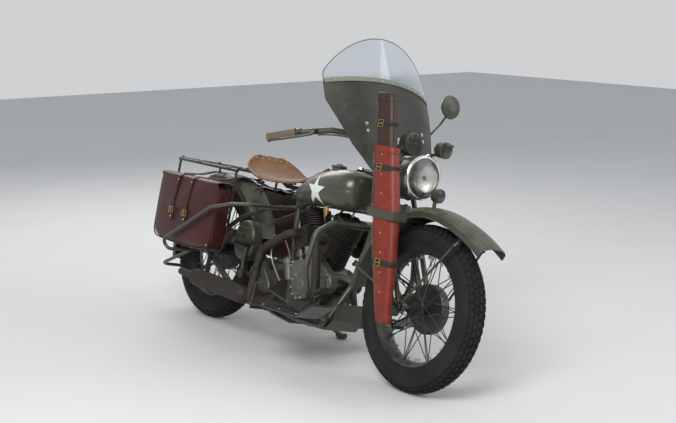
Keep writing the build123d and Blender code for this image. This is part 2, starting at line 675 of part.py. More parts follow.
def tail_lamps():
    """Two round lamps on stems at the rear fender."""
    lamps = []
    seat_x = -math.sqrt((REAR_CROWN - 2) ** 2 - (TAIL_LAMP_Z - 9 - AXLE_Z) ** 2) - FIT
    for side in (1, -1):
        lamp = spun([(0, 0), (0, 14), (30, 30), (48, 30), (48, 0)], (-348, side * 32, TAIL_LAMP_Z), (-1, 0, 0))
        lamps.append(lamp + rod((seat_x, side * 32, TAIL_LAMP_Z), (-349, side * 32, TAIL_LAMP_Z), 9))
    return lamps


BAG_X = (-188.0, 316.0)
BAG_Z = (336.0, 652.0)
BAG_Y = (185.0, 305.0)
YOKE_X = (-110.0, 110.0)
YOKE_WIDTH = 34.0
YOKE_THICK = 4.0


def saddlebag():
    """Left leather saddlebag."""
    low_x, high_x = BAG_X
    low_z, high_z = BAG_Z
    body = across(polygon([(low_x + 30, low_z), (low_x, low_z + 30), (low_x - 4, high_z - 24), (low_x + 20, high_z),
                           (high_x - 20, high_z), (high_x + 4, high_z - 24), (high_x, low_z + 30),
                           (high_x - 30, low_z)]), *BAG_Y)
    return fillet(body.faces().sort_by(Axis.Y)[-1].edges(), 14)


def saddlebag_yoke(x):
    """Strap that lies over the rear fender and carries both bags."""
    near = min(abs(x - YOKE_WIDTH / 2), abs(x + YOKE_WIDTH / 2))
    top = AXLE_Z + math.sqrt(REAR_CROWN ** 2 - near ** 2) + FIT
    line = [(0, top), (40, top), (BAG_Y[0] + 2, BAG_Z[1] - 14)]
    outer = [(y, z + YOKE_THICK) for y, z in line]
    half = line + outer[::-1]
    strap = extrude(Plane.YZ.offset(x - YOKE_WIDTH / 2) * polygon(half), amount=YOKE_WIDTH)
    return strap + mirrored(strap)


GUARD_TUBE = 8.0
CRASH_TUBE = 12.7
CRASH_TOP = 592.0


def bag_guard():
    """Left tube guard round the saddlebag, from the seat tube to the axle plate."""
    y = BAG_Y[1] + 19
    front = ahead_of(SEAT_X, [(6, MAIN_TUBE + FIT + GUARD_TUBE + 8, 598), (-3, 255, 588), (-48, y - 2, 578)])
    rear = [(337, y, 540), (-25, y, 335), (10, y - 24, 300), (44, 168, 315), (48, 150, 339)]
    rear += [(48, PLATE_Y[1] + FIT, 339)]
    return tube(front + rear, GUARD_TUBE, 26)


def crash_guard():
    """Left half of the hoop guard behind the down tube, from its crossing to the lower rail."""
    slope = (DOWN_HIGH[0] - DOWN_LOW[0]) / (DOWN_HIGH[2] - DOWN_LOW[2])
    apart = (MAIN_TUBE + CRASH_TUBE + FIT) * math.sqrt(1 + slope ** 2)
    x = DOWN_LOW[0] + (CRASH_TOP - DOWN_LOW[2]) * slope - apart
    foot = (CRANK_X + 197.6, 87.4, 186.6)
    line = [foot, (x - 20, 150, 200), (x, 262, 300), (x, 293, 400), (x, 270, CRASH_TOP - 47), (x, 190, CRASH_TOP),
            (x, 0, CRASH_TOP)]
    return tube(line, CRASH_TUBE, 48)


def footboard():
    """Left footboard with its brackets on the lower rail."""
    plate = [(26, 190), (280, 196), (382, 262), (378, 270), (277, 204), (26, 198)]
    board = across(polygon([(CRANK_X + x, z) for x, z in plate]), 205, 315)
    seat = RAIL_Y + RAIL_TUBE + FIT
    rear = ahead_of(CRANK_X, [(90, seat, RAIL_Z), (90, 196, RAIL_Z), (90, 300, 184)])
    front = ahead_of(CRANK_X, [(155, seat - 6, 159), (155, 140, 162), (250, 300, 188)])
    return board + tube(rear, 9, 20) + tube(front, 9, 20)


save("fuel_tanks", tank_half(), mirrored(tank_half()))
save("instrument_dash", instrument_dash())
save("saddle", saddle())
save("saddle_post", saddle_post())
save("rear_fender", rear_fender())
save("luggage_rack", luggage_rack())
save("tail_lamps", *tail_lamps())
save("saddlebags", saddlebag() + mirrored(saddlebag()) + [saddlebag_yoke(x) for x in YOKE_X])
save("tube_guards", bag_guard(), mirrored(bag_guard()), crash_guard() + mirrored(crash_guard()))
save("footboards", footboard(), mirrored(footboard()))


# foot and hand controls

def brake_pedal():
    """Right brake pedal on the footboard bracket with its rod and bell crank."""
    start, knee, toe = ahead_of(CRANK_X, [(185.9, -192, 183), (208, -188, 266), (312, -205, 308)])
    arm = tube([start, knee, toe], 7, 16)
    pad = Plane(origin=(toe[0] + 2, -225, toe[2] + 6), z_dir=(-0.5, 0, 1)) * Box(58, 74, 9)
    crank = (CROSS_SEAT_X + 2, -193, 262)
    low = (CROSS_SEAT_X - 6, crank[1], RAIL_Z)
    link = rod((start[0] + 5, start[1], start[2] + 15), crank, 4) + rod(crank, low, 6)
    return arm + pad + link + drum(low[0], low[2], 7, crank[1] - 4, -(RAIL_Y + RAIL_TUBE + FIT))


def clutch_pedal():
    """Left rocking clutch pedal on the footboard bracket."""
    foot, bend, toe = ahead_of(CRANK_X, [(185.9, 192, 181.3), (197, 186, 236), (314, 200, 324)])
    arm = tube([foot, bend, toe], 8, 16)
    pad = Plane(origin=(toe[0] + 3, 246, toe[2] + 8), z_dir=(-0.5, 0, 1)) * Box(56, 104, 9)
    heel = Plane(origin=(CRANK_X + 105, 256, 252), z_dir=(0.4, 0, 1)) * Box(58, 70, 9)
    link = tube([bend, (CRANK_X + 150, 206, 240), (CRANK_X + 105, 228, 249)], 7, 16)
    return arm + pad + heel + link


GATE_Y = (172.0, 176.0)


def shift_lever():
    """Hand shift lever in its gate beside the left tank, with the rod to the gearbox lid."""
    lever = tube(ahead_of(CRANK_X, [(-118, 150, 636), (-100, 181, 690), (12, 181, 800)]), 6, 30)
    knob = Pos(CRANK_X + 12, 181, 806) * Sphere(17)
    gate = Pos(CRANK_X - 36, sum(GATE_Y) / 2, 735) * Box(120, GATE_Y[1] - GATE_Y[0], 22)
    spacer = rod((CRANK_X - 36, 139, 735), (CRANK_X - 36, 173, 735), 8)
    post = rod((GEARBOX_X + 20, 30, LID_TOP + FIT), (GEARBOX_X + 20, 30, LID_TOP + 34), 10)
    arm = tube([(GEARBOX_X + 20, 30, LID_TOP + 28), (GEARBOX_X + 24, 104, 404), (CRANK_X - 118, 150, 638)], 5, 14)
    return lever + knob + gate + spacer + post + arm


def kick_starter():
    """Kick starter arm with its folding pedal."""
    y = KICK_SHAFT_END - 12
    arm = tube([(KICK_X, y, KICK_Z), (KICK_X - 6, y, 335), (KICK_X + 2, y, 404)], 9, 60)
    boss = drum(KICK_X, KICK_Z, 20, y - 11, KICK_SHAFT_END - FIT)
    return arm + boss + rod((KICK_X + 2, y + 10, 402), (KICK_X + 17, y - 86, 420), 11)


TOOL_BOX_X = 398.0
TOOL_BOX_Y = (-162.0, -110.0)


def tool_box():
    """Round-topped box between the gearbox and the right saddlebag, hung on the stay."""
    body = across(circle_hull([(TOOL_BOX_X, 438, 72), (TOOL_BOX_X, 400, 72)]), *TOOL_BOX_Y)
    body = fillet(body.faces().sort_by(Axis.Y)[0].edges(), 14)
    seat = -(RAIL_Y + STAY_TUBE + FIT)
    return body + Pos(TOOL_BOX_X, seat - 2.5, 523) * Box(28, 5, 86)


save("foot_pedals", brake_pedal(), clutch_pedal())
save("shift_lever", shift_lever())
save("kick_starter", kick_starter())
save("tool_box", tool_box())


# springer fork, measured ahead of the steering axis and up along it

LEG_Y = 82.0
LEG_RADIUS = 13.0
FRONT_AXLE = fork_place(WHEELBASE, AXLE_Z)
PIVOT = (FRONT_AXLE[0] - 74.5, FRONT_AXLE[1] + 3.1)
SPRING_PIN = (FRONT_AXLE[0] - 36.5, FRONT_AXLE[1] + 3.1)
ROCKER_Y = (97.0, 105.0)
CROWN = (765.0, 794.0)
TOP_BRACKET = (962.0, 984.0)
SPRING_SEAT = (60.0, 818.0)
SEAT_TUBE_RADIUS = 12.0
SPRING_AHEAD = 62.0
SPRING_LOW = 840.0
SPRING_Y = 38.0
SPRING_RADIUS = 19.0
SPRING_CORE = 12.0


def fork_forward():
    """Unit vector ahead, square to the steering axis."""
    turn = math.radians(RAKE)
    return (math.cos(turn), 0.0, math.sin(turn))


def fork_frame(along):
    """Plane square to the steering axis: X ahead, Y left, Z up the axis."""
    return Plane(origin=fork_point(0, along), x_dir=fork_forward(), z_dir=AXIS_UP)


def fork_plate(outline, low, high):
    """Outline of (ahead, y) points extruded along the steering axis."""
    return extrude(fork_frame(low) * outline, amount=high - low)


def fork_legs():
    """Rigid fork with its stem, crown and top bracket."""
    stem = rod(fork_point(0, CROWN[0]), fork_point(0, TOP_BRACKET[1]), STEM_RADIUS)
    crown = fork_plate(polygon([(-26, -50), (-8, -96), (26, -96), (34, 0), (26, 96), (-8, 96), (-26, 50)]), *CROWN)
    top = fork_plate(polygon([(-26, -34), (20, -60), (84, -60), (84, 60), (20, 60), (-26, 34)]), *TOP_BRACKET)
    body = stem + crown + top
    for side in (1, -1):
        y = side * LEG_Y
        path = [fork_point(*PIVOT, y), fork_point(12, 560, y), fork_point(8, CROWN[0] + 4, y)]
        body += tube(path, LEG_RADIUS, 120)
        body += rod(fork_point(*PIVOT, side * 67), fork_point(*PIVOT, side * (ROCKER_Y[0] - FIT)), 17)
    return body


def rocker():
    """Left rocker between the rigid leg, the spring leg and the axle."""
    rear = fork_point(*PIVOT)
    front = fork_point(*FRONT_AXLE)
    return across(circle_hull([(rear[0], rear[2], 16), (front[0], front[2], 19)]), *ROCKER_Y)


def main_spring(y):
    """One main fork spring as stacked turns on its rod."""
    length = TOP_BRACKET[0] - FIT - SPRING_LOW
    profile = [(0, 0)]
    at = 0.0
    while at < length - 4:
        profile += [(at, SPRING_CORE), (at, SPRING_RADIUS), (at + 6, SPRING_RADIUS), (at + 6, SPRING_CORE)]
        at += 11
    profile += [(length, SPRING_CORE), (length, 0)]
    return spun(profile, fork_point(SPRING_AHEAD, SPRING_LOW, y), AXIS_UP)


def spring_fork():
    """Front fork legs with rockers, axle, spring seat and both main springs."""
    ahead, along = SPRING_SEAT
    body = drum(WHEELBASE, AXLE_Z, AXLE_RADIUS, -118, 118) + rocker() + mirrored(rocker())
    body += rod(fork_point(ahead, along, -LEG_Y), fork_point(ahead, along, LEG_Y), SEAT_TUBE_RADIUS)
    for side in (1, -1):
        y = side * LEG_Y
        body += rod(fork_point(*SPRING_PIN, side * 68), fork_point(*SPRING_PIN, side * 101), 15)
        body += tube([fork_point(*SPRING_PIN, y), fork_point(ahead, 700, y), fork_point(ahead, along, y)], 11, 40)
        foot = fork_point(ahead, along, side * SPRING_Y)
        body += rod(foot, fork_point(SPRING_AHEAD, SPRING_LOW, side * SPRING_Y), 15)
        body += main_spring(side * SPRING_Y)
    return body


FRONT_CROWN = 400.0
TIP_CROWN = 800.0
TIP_START = 10.0
TIP_END = 31.0


def front_fender():
    """Front fender with a straighter nose and its stays."""
    turn = math.radians(TIP_START)
    nose_x = WHEELBASE - (TIP_CROWN - FRONT_CROWN) * math.sin(turn)
    nose_z = AXLE_Z - (TIP_CROWN - FRONT_CROWN) * math.cos(turn)
    skin = fender_skin(WHEELBASE, AXLE_Z, FRONT_CROWN, -88, TIP_START)
    skin += fender_skin(nose_x, nose_z, TIP_CROWN, TIP_START, TIP_END)
    for side in (1, -1):
        front = [(208, side * 63, 628), (195, side * 80, 604), (8, side * 114, 352)]
        rear = [(-370, side * 63, 450), (-355, side * 84, 440), (-8, side * 114, 345)]
        skin += tube(ahead_of(WHEELBASE, front), 5, 20) + tube(ahead_of(WHEELBASE, rear), 5, 20)
        eye = sorted((side * (ROCKER_Y[1] + FIT), side * 117.7))
        skin += drum(WHEELBASE, AXLE_Z, 20, *eye)
    return skin - drum(WHEELBASE, AXLE_Z, AXLE_RADIUS + FIT, -130, 130)


BAR_RADIUS = 12.7
GRIP_RADIUS = 17.0
BAR_HALF = ahead_of(WHEELBASE, [(-408, 60, 935), (-428, 130, 964), (-485, 225, 962), (-555, 330, 930),
                                (-660, 402, 888)])
SHEET_RADIUS = 456.0
SHEET_CENTRE = -336.0
SEAM = 1296.0
SHEET_HALF = 285.0
BRACKET_Y = 150.0


def handlebar():
    """Bent handlebar with its risers and levers."""
    right = [(x, -y, z) for x, y, z in reversed(BAR_HALF)]
    bar = tube(right + BAR_HALF, BAR_RADIUS, 34)
    for side in (1, -1):
        bar += rod(fork_point(17, TOP_BRACKET[1] + FIT, side * 30), fork_point(17, 1050, side * 30), 12)
        lever = [(-520, side * 278, 948), (-485, side * 322, 930), (-580, side * 405, 888)]
        bar += tube(ahead_of(WHEELBASE, lever), 5, 14)
    return bar


def windshield_brackets():
    """Stays between the apron and the handlebar."""
    hold = SHEET_CENTRE + math.sqrt(SHEET_RADIUS ** 2 - BRACKET_Y ** 2) - FIT - 2.6
    stays = []
    for side in (1, -1):
        start = fork_point(hold, 1080, side * BRACKET_Y)
        stays.append(rod(start, (WHEELBASE - 438, side * 148, 980 - FIT), 6))
    return stays


def grip():
    """Left rubber grip."""
    start = Vector(*BAR_HALF[-1])
    run = (Vector(*BAR_HALF[-2]) - start).normalized()
    body = extrude(Plane(origin=start - run * 6, z_dir=run) * Circle(GRIP_RADIUS), amount=122)
    return body - extrude(Plane(origin=start, z_dir=run) * Circle(BAR_RADIUS + FIT), amount=130)


# windshield, a sheet bent about a line parallel to the steering axis

def bent_sheet(outline, thick, low, high):
    """Part of a curved sheet inside a (y, along) outline."""
    ring = fork_plate(Pos(SHEET_CENTRE, 0) * (Circle(SHEET_RADIUS + thick) - Circle(SHEET_RADIUS)), low, high)
    front = Plane(origin=fork_point(0, 0), x_dir=(0, 1, 0), z_dir=Vector(0, 1, 0).cross(Vector(*AXIS_UP)))
    cutter = extrude(front * outline, amount=300, both=True)
    return ring & cutter & fork_plate(Rectangle(400, 800), low, high)


def windshield():
    """Clear upper sheet."""
    low = SEAM + FIT
    outline = make_face([Line((-SHEET_HALF, low), (SHEET_HALF, low)),
                         Line((SHEET_HALF, low), (SHEET_HALF, SEAM + 40)),
                         ThreePointArc((SHEET_HALF, SEAM + 40), (0, SEAM + 200), (-SHEET_HALF, SEAM + 40)),
                         Line((-SHEET_HALF, SEAM + 40), (-SHEET_HALF, low))])
    return bent_sheet(outline, 4, SEAM - 10, SEAM + 260)


def windshield_apron():
    """Lower opaque apron with a notch for the headlight."""
    outline = make_face([Polyline((-100, SEAM - 336), (-100, SEAM - 416), (-150, SEAM - 416), (-215, SEAM - 286),
                                  (-SHEET_HALF, SEAM - 80), (-SHEET_HALF, SEAM), (SHEET_HALF, SEAM),
                                  (SHEET_HALF, SEAM - 80), (215, SEAM - 286), (150, SEAM - 416),
                                  (100, SEAM - 416), (100, SEAM - 336)),
                         ThreePointArc((100, SEAM - 336), (0, SEAM - 246), (-100, SEAM - 336))])
    return bent_sheet(outline, 3, SEAM - 436, SEAM + 10)


HEADLIGHT_BACK = (WHEELBASE - 250.0, 0.0, 838.0)
HEADLIGHT_DEEP = 118.0


def headlight():
    """Headlight shell with its bracket on the spring seat."""
    profile = [(0, 0), (0, 24), (20, 56), (50, 78), (96, 87), (HEADLIGHT_DEEP, 89), (HEADLIGHT_DEEP, 0)]
    start = SPRING_SEAT[0] + SEAT_TUBE_RADIUS + FIT
    line = [fork_point(start, SPRING_SEAT[1]), fork_point(start + 18, SPRING_SEAT[1])]
    line += ahead_of(WHEELBASE, [(-198, 0, 742), (-170, 0, 770)])
    return spun(profile, HEADLIGHT_BACK, (1, 0, 0)) + tube(line, 9, 14)


def headlight_lens():
    """Domed glass of the headlight."""
    low = HEADLIGHT_DEEP + FIT
    profile = [(low, 0), (low, 80), (low + 8, 72), (low + 15, 40), (low + 17, 0)]
    return spun(profile, HEADLIGHT_BACK, (1, 0, 0))


def horn():
    """Round horn above the headlight on its stem from the top bracket."""
    profile = [(0, 0), (0, 30), (20, 46), (56, 48), (60, 44), (60, 0)]
    stem = rod(fork_point(84 + 4.3, 973), (WHEELBASE - 278, 0, 952), 8)
    return spun(profile, (WHEELBASE - 282, 0, 958), (1, 0, 0.1)) + stem


MARKER_Y = 46.0


def fender_lamps():
    """Hooded blackout lamp and the small marker lamp below it."""
    blackout = spun([(0, 0), (0, 12), (26, 32), (62, 34), (62, 0)], (WHEELBASE - 202, 104, 962), (1, 0, 0))
    hood = across(circle_hull([(WHEELBASE - 160, 975, 14), (WHEELBASE - 126, 985, 6)]), 84, 124)
    line = [fork_point(60, TOP_BRACKET[1] + FIT, 50), fork_point(60, TOP_BRACKET[1] + 28, 50)]
    line += ahead_of(WHEELBASE, [(-258, 100, 925), (-175, 104, 945)])
    marker = spun([(0, 0), (0, 10), (18, 27), (44, 29), (44, 0)], (WHEELBASE - 108, MARKER_Y, 778), (1, 0, 0))
    crown = FRONT_CROWN - 2 - (MARKER_Y - 5.7 - FENDER_SIDE + 34) * 7 / 22
    foot_z = AXLE_Z + math.sqrt(crown ** 2 - 80.3 ** 2) + FIT
    foot = rod((WHEELBASE - 86, MARKER_Y, foot_z), (WHEELBASE - 86, MARKER_Y, 760), 8)
    return blackout + hood + tube(line, 7, 18), marker + foot


MIRROR_FOOT_Y = 244.0


def mirror_left():
    """Round mirror on a stalk from the left of the handlebar."""
    share = (MIRROR_FOOT_Y - BAR_HALF[2][1]) / (BAR_HALF[3][1] - BAR_HALF[2][1])
    x = BAR_HALF[2][0] + share * (BAR_HALF[3][0] - BAR_HALF[2][0])
    z = BAR_HALF[2][2] + share * (BAR_HALF[3][2] - BAR_HALF[2][2]) + BAR_RADIUS + 1.8
    line = [(x, MIRROR_FOOT_Y, z), (x, MIRROR_FOOT_Y, z + 20)]
    line += ahead_of(WHEELBASE, [(-488, 300, 1012), (-460, 335, 1080), (-426, 345, 1140)])
    disc = [(-3, 0), (-3, 48), (0, 52), (6, 50), (16, 20), (16, 0)]
    return tube(line, 5, 16) + spun(disc, (WHEELBASE - 426, 345, 1158), (1, 0, 0.15))


SCABBARD_Y = -172.0
STRAP_Z = 672.0
STRAP_HALF = 76.0


def scabbard_section(x, z, wide, thick):
    """Rounded flat section of the scabbard, level in Z."""
    return Plane(origin=(WHEELBASE + x, SCABBARD_Y, z)) * RectangleRounded(wide, thick, thick * 0.42)


def scabbard():
    """Leather scabbard on the right side of the fork, a boot with a narrower sleeve above it."""
    boot = loft([scabbard_section(-176, 925, 124, 56), scabbard_section(-113, 690, 138, 58),
                 scabbard_section(-17, 268, 74, 38)])
    return boot + loft([scabbard_section(-231, 1138, 92, 44), scabbard_section(-170, 905, 98, 46)])


def scabbard_bracket():
    """Strap iron that holds the scabbard to the fork."""
    x = WHEELBASE - 109
    strap = Pos(x, SCABBARD_Y, STRAP_Z) * (Box(2 * STRAP_HALF + 10, 70, 34) - Box(2 * STRAP_HALF, 60.6, 40))
    return strap + rod((x - 50, SCABBARD_Y + 36.5, STRAP_Z), (WHEELBASE - 234, -LEG_Y, 610), 7)


save("fork_legs", fork_legs() + scabbard_bracket())
save("spring_fork", spring_fork())
save("front_fender", front_fender())
save("handlebar", handlebar(), *windshield_brackets())
save("grips", grip(), mirrored(grip()))
save("windshield", windshield())
save("windshield_apron", windshield_apron())
save("headlight", headlight())
save("headlight_lens", headlight_lens())
save("horn", horn())
save("fender_lamps", *fender_lamps())
save("mirror_left", mirror_left())
save("scabbard", scabbard())


# stands

STAND_ARM_Y = 123.0
REAR_STAND_REACH = 352.0
REAR_STAND_ANGLE = -114.0


def side_stand():
    """Side stand leg with its eye on the lug pin and its round foot on the floor."""
    foot = STAND_FOOT
    start = STAND_PIVOT + (foot - STAND_PIVOT).normalized() * (STAND_BORE + 3)
    leg = rod(tuple(start), tuple(foot), 9)
    bar = rod((foot.X - 26, foot.Y, foot.Z), (foot.X + 26, foot.Y, foot.Z), FOOT_RADIUS)
    low = STAND_PIVOT - STAND_AXIS * STAND_EYE_HALF
    high = STAND_PIVOT + STAND_AXIS * STAND_EYE_HALF
    return leg + bar + rod(low, high, STAND_EYE) - rod(low - STAND_AXIS, high + STAND_AXIS, STAND_BORE)


def rear_stand():
    """U-shaped rear stand on the axle ends, swung up behind the rear wheel."""
    turn = math.radians(REAR_STAND_ANGLE)
    end_x = REAR_STAND_REACH * math.sin(turn)
    end_z = AXLE_Z + REAR_STAND_REACH * math.cos(turn)
    y = STAND_ARM_Y
    arms = tube([(0, y, AXLE_Z), (end_x, y, end_z), (end_x, -y, end_z), (0, -y, AXLE_Z)], 8, 40)
    arms += drum(0, AXLE_Z, 17, y - 9, y + 9) + drum(0, AXLE_Z, 17, -y - 9, 9 - y)
    return arms - drum(0, AXLE_Z, AXLE_BORE, -150, 150)


save("side_stand", side_stand())
save("rear_stand", rear_stand())
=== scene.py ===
import json
import math

import bpy
from mathutils import Matrix, Vector
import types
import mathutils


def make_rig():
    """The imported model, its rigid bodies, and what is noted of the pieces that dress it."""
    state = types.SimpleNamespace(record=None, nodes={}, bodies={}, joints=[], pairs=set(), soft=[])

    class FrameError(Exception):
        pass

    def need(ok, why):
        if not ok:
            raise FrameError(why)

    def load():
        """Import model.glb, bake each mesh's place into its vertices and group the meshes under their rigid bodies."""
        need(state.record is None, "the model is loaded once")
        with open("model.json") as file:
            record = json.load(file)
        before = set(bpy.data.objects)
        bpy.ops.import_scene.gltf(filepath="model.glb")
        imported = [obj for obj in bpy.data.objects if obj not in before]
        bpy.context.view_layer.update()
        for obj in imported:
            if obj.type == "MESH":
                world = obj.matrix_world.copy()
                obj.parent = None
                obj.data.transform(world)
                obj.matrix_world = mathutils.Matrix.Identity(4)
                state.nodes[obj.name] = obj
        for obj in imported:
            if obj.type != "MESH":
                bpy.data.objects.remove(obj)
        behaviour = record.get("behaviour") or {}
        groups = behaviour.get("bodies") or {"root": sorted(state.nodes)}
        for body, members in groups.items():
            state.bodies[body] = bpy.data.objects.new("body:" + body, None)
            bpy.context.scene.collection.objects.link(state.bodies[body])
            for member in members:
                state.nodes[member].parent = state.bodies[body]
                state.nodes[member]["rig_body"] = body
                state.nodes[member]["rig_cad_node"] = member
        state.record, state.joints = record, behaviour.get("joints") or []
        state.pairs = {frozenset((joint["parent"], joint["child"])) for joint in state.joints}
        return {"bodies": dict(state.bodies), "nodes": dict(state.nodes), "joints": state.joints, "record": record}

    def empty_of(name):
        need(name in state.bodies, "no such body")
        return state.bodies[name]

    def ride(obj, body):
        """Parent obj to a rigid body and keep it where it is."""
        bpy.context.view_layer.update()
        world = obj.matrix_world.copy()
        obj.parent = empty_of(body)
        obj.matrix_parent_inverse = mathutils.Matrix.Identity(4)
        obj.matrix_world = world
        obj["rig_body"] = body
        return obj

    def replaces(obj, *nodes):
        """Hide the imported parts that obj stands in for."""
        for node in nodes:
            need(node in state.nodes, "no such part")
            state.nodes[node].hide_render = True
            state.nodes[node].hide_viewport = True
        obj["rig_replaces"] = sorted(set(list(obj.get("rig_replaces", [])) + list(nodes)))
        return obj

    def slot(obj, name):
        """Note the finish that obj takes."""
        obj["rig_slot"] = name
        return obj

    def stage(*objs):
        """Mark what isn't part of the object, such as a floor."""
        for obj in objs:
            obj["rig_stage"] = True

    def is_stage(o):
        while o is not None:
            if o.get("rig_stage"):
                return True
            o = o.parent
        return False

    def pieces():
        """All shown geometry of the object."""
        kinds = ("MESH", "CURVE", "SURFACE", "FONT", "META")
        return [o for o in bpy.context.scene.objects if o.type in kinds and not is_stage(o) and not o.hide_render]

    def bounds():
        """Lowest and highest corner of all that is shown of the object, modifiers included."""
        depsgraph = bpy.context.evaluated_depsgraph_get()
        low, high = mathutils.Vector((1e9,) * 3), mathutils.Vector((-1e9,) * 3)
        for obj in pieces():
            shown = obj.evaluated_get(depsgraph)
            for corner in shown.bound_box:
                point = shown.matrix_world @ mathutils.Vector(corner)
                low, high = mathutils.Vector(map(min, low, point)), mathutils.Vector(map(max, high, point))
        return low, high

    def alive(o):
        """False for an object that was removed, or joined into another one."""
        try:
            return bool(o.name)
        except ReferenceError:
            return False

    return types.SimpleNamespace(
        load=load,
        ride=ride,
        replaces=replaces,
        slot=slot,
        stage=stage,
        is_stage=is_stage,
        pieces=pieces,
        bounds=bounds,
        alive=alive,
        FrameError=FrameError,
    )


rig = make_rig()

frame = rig.load()
CAD_LOW, CAD_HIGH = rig.bounds()
NODES = frame["nodes"]

bl_info = {
    "name": "Solo Service Motorcycle",
    "version": (1, 0, 0),
    "blender": (4, 5, 0),
    "location": "View3D > Sidebar > Motorcycle",
    "description": "Builds the finishes and the detailed pieces of an olive V-twin motorcycle on its stand",
    "category": "Object",
}

# the upright machine, in millimetres: X from the rear axle forward, Y left, Z up

WHEELBASE = 1460.0
AXLE_Z = 333.0
CRANK_X = 0.548 * WHEELBASE
GEARBOX_X = 0.329 * WHEELBASE
SEAT_X = 0.3753 * WHEELBASE

# the steering axis, which meets the ground ahead of the front axle

RAKE = math.radians(28.0)
AXIS_AT_GROUND = 1530.0
AXIS_UP = Vector((-math.sin(RAKE), 0.0, math.cos(RAKE)))
AXIS_AHEAD = Vector((math.cos(RAKE), 0.0, math.sin(RAKE)))

# the machine as it parks, in metres: leaned on its side stand and moved to the middle of the frame

LEAN = math.radians(13.1)
PARKED = Vector((-0.703, -0.193, 0.001353))
UPRIGHT = Matrix.Translation(PARKED) @ Matrix.Rotation(-LEAN, 4, "X")
MIRROR = Matrix.Diagonal((1, -1, 1, 1))

ACROSS = Vector((0, 1, 0))
AHEAD = Vector((1, 0, 0))
UP = Vector((0, 0, 1))


def mm(*values):
    """Millimetres as a point in metres."""
    return Vector(values) * 0.001


def fork_point(ahead, along, y=0.0):
    """Point at a distance along the steering axis, ahead of it and across, given in millimetres."""
    return mm(AXIS_AT_GROUND - along * math.sin(RAKE) + ahead * math.cos(RAKE), y,
              along * math.cos(RAKE) + ahead * math.sin(RAKE))


# settings


def colour_setting(name, description, default):
    """Colour that a user may change."""
    return bpy.props.FloatVectorProperty(
        name=name, description=description, subtype="COLOR", size=3, min=0, max=1, default=default)


def share_setting(name, description, default):
    """Share from 0 to 1 that a user may change."""
    return bpy.props.FloatProperty(
        name=name, description=description, subtype="FACTOR", min=0, max=1, default=default)


class MotorcycleSettings(bpy.types.PropertyGroup):
    """Sizes and colours of the motorcycle that a user may change."""

    paint: colour_setting("Paint", "Colour of the olive paint", (0.036, 0.039, 0.022))
    apron: colour_setting("Apron", "Colour of the sheet under the windshield", (0.012, 0.0115, 0.0075))
    saddle: colour_setting("Saddle leather", "Colour of the saddle", (0.20, 0.092, 0.034))
    bags: colour_setting("Bag leather", "Colour of the saddlebags", (0.050, 0.010, 0.008))
    boot: colour_setting("Scabbard leather", "Colour of the lower scabbard", (0.19, 0.021, 0.010))
    wear: share_setting("Edge wear", "Share of the paint rubbed off the edges", 0.35)
    dust: share_setting("Dust", "Road dust on the faces that look up", 0.25)
    star: bpy.props.FloatProperty(
        name="Star", description="Radius of the white star on the tanks", unit="LENGTH", min=0.02, max=0.12,
        default=0.070)
    tread_blocks: bpy.props.IntProperty(
        name="Tread blocks", description="Blocks round each tyre", min=24, max=120, default=66)
    tread_depth: bpy.props.FloatProperty(
        name="Tread depth", description="Height of the tyre's blocks", unit="LENGTH", min=0.002, max=0.01,
        default=0.006)
    spring_turns: bpy.props.IntProperty(
        name="Spring turns", description="Turns of each main fork spring", min=6, max=20, default=12)
    lamp_power: bpy.props.FloatProperty(
        name="Lamp power", description="Power of the main soft lamp", unit="POWER", min=0, max=1000,
        default=120)


def settings():
    """The scene's motorcycle settings."""
    return bpy.context.scene.motorcycle


# shader nodes


def node(tree, kind, **attributes):
    """New node, with its attributes set."""
    made = tree.nodes.new(kind)
    for name, value in attributes.items():
        setattr(made, name, value)
    return made


def feed(tree, target, value):
    """Give an input its number, its colour or the output of another node."""
    if isinstance(value, bpy.types.NodeSocket):
        tree.links.new(value, target)
    elif isinstance(value, tuple):
        target.default_value = (*value[:3], 1.0)
    else:
        target.default_value = value


def tune(tree, made, **values):
    """Give several inputs of a node their values. An underscore in a name stands for a space."""
    for label, value in values.items():
        feed(tree, made.inputs[label.replace("_", " ")], value)
    return made


def maths(tree, operation, a, b=None, clamp=False):
    """Math node on two sockets or numbers."""
    made = node(tree, "ShaderNodeMath", operation=operation, use_clamp=clamp)
    feed(tree, made.inputs[0], a)
    if b is not None:
        feed(tree, made.inputs[1], b)
    return made.outputs[0]


def object_place(tree):
    """Place on the piece, in its own coordinates."""
    return node(tree, "ShaderNodeTexCoord").outputs["Object"]


def parts_of(tree, vector):
    """X, Y and Z of a vector."""
    return tune(tree, node(tree, "ShaderNodeSeparateXYZ"), Vector=vector).outputs


def noise(tree, scale, detail, rough, **values):
    """Noise over the piece."""
    made = node(tree, "ShaderNodeTexNoise")
    tune(tree, made, Scale=scale, Detail=detail, Roughness=rough, **values)
    feed(tree, made.inputs["Vector"], object_place(tree))
    return made.outputs["Fac"]


def ramp(tree, value, low, high):
    """Value stretched between two limits to 0 and 1."""
    made = node(tree, "ShaderNodeMapRange", interpolation_type="SMOOTHSTEP")
    return tune(tree, made, Value=value, From_Min=low, From_Max=high).outputs["Result"]


def blend_colour(tree, share, first, second):
    """Mix of two colours or sockets."""
    made = node(tree, "ShaderNodeMix", data_type="RGBA")
    for index, value in ((0, share), (6, first), (7, second)):
        feed(tree, made.inputs[index], value)
    return made.outputs[2]


# shader groups


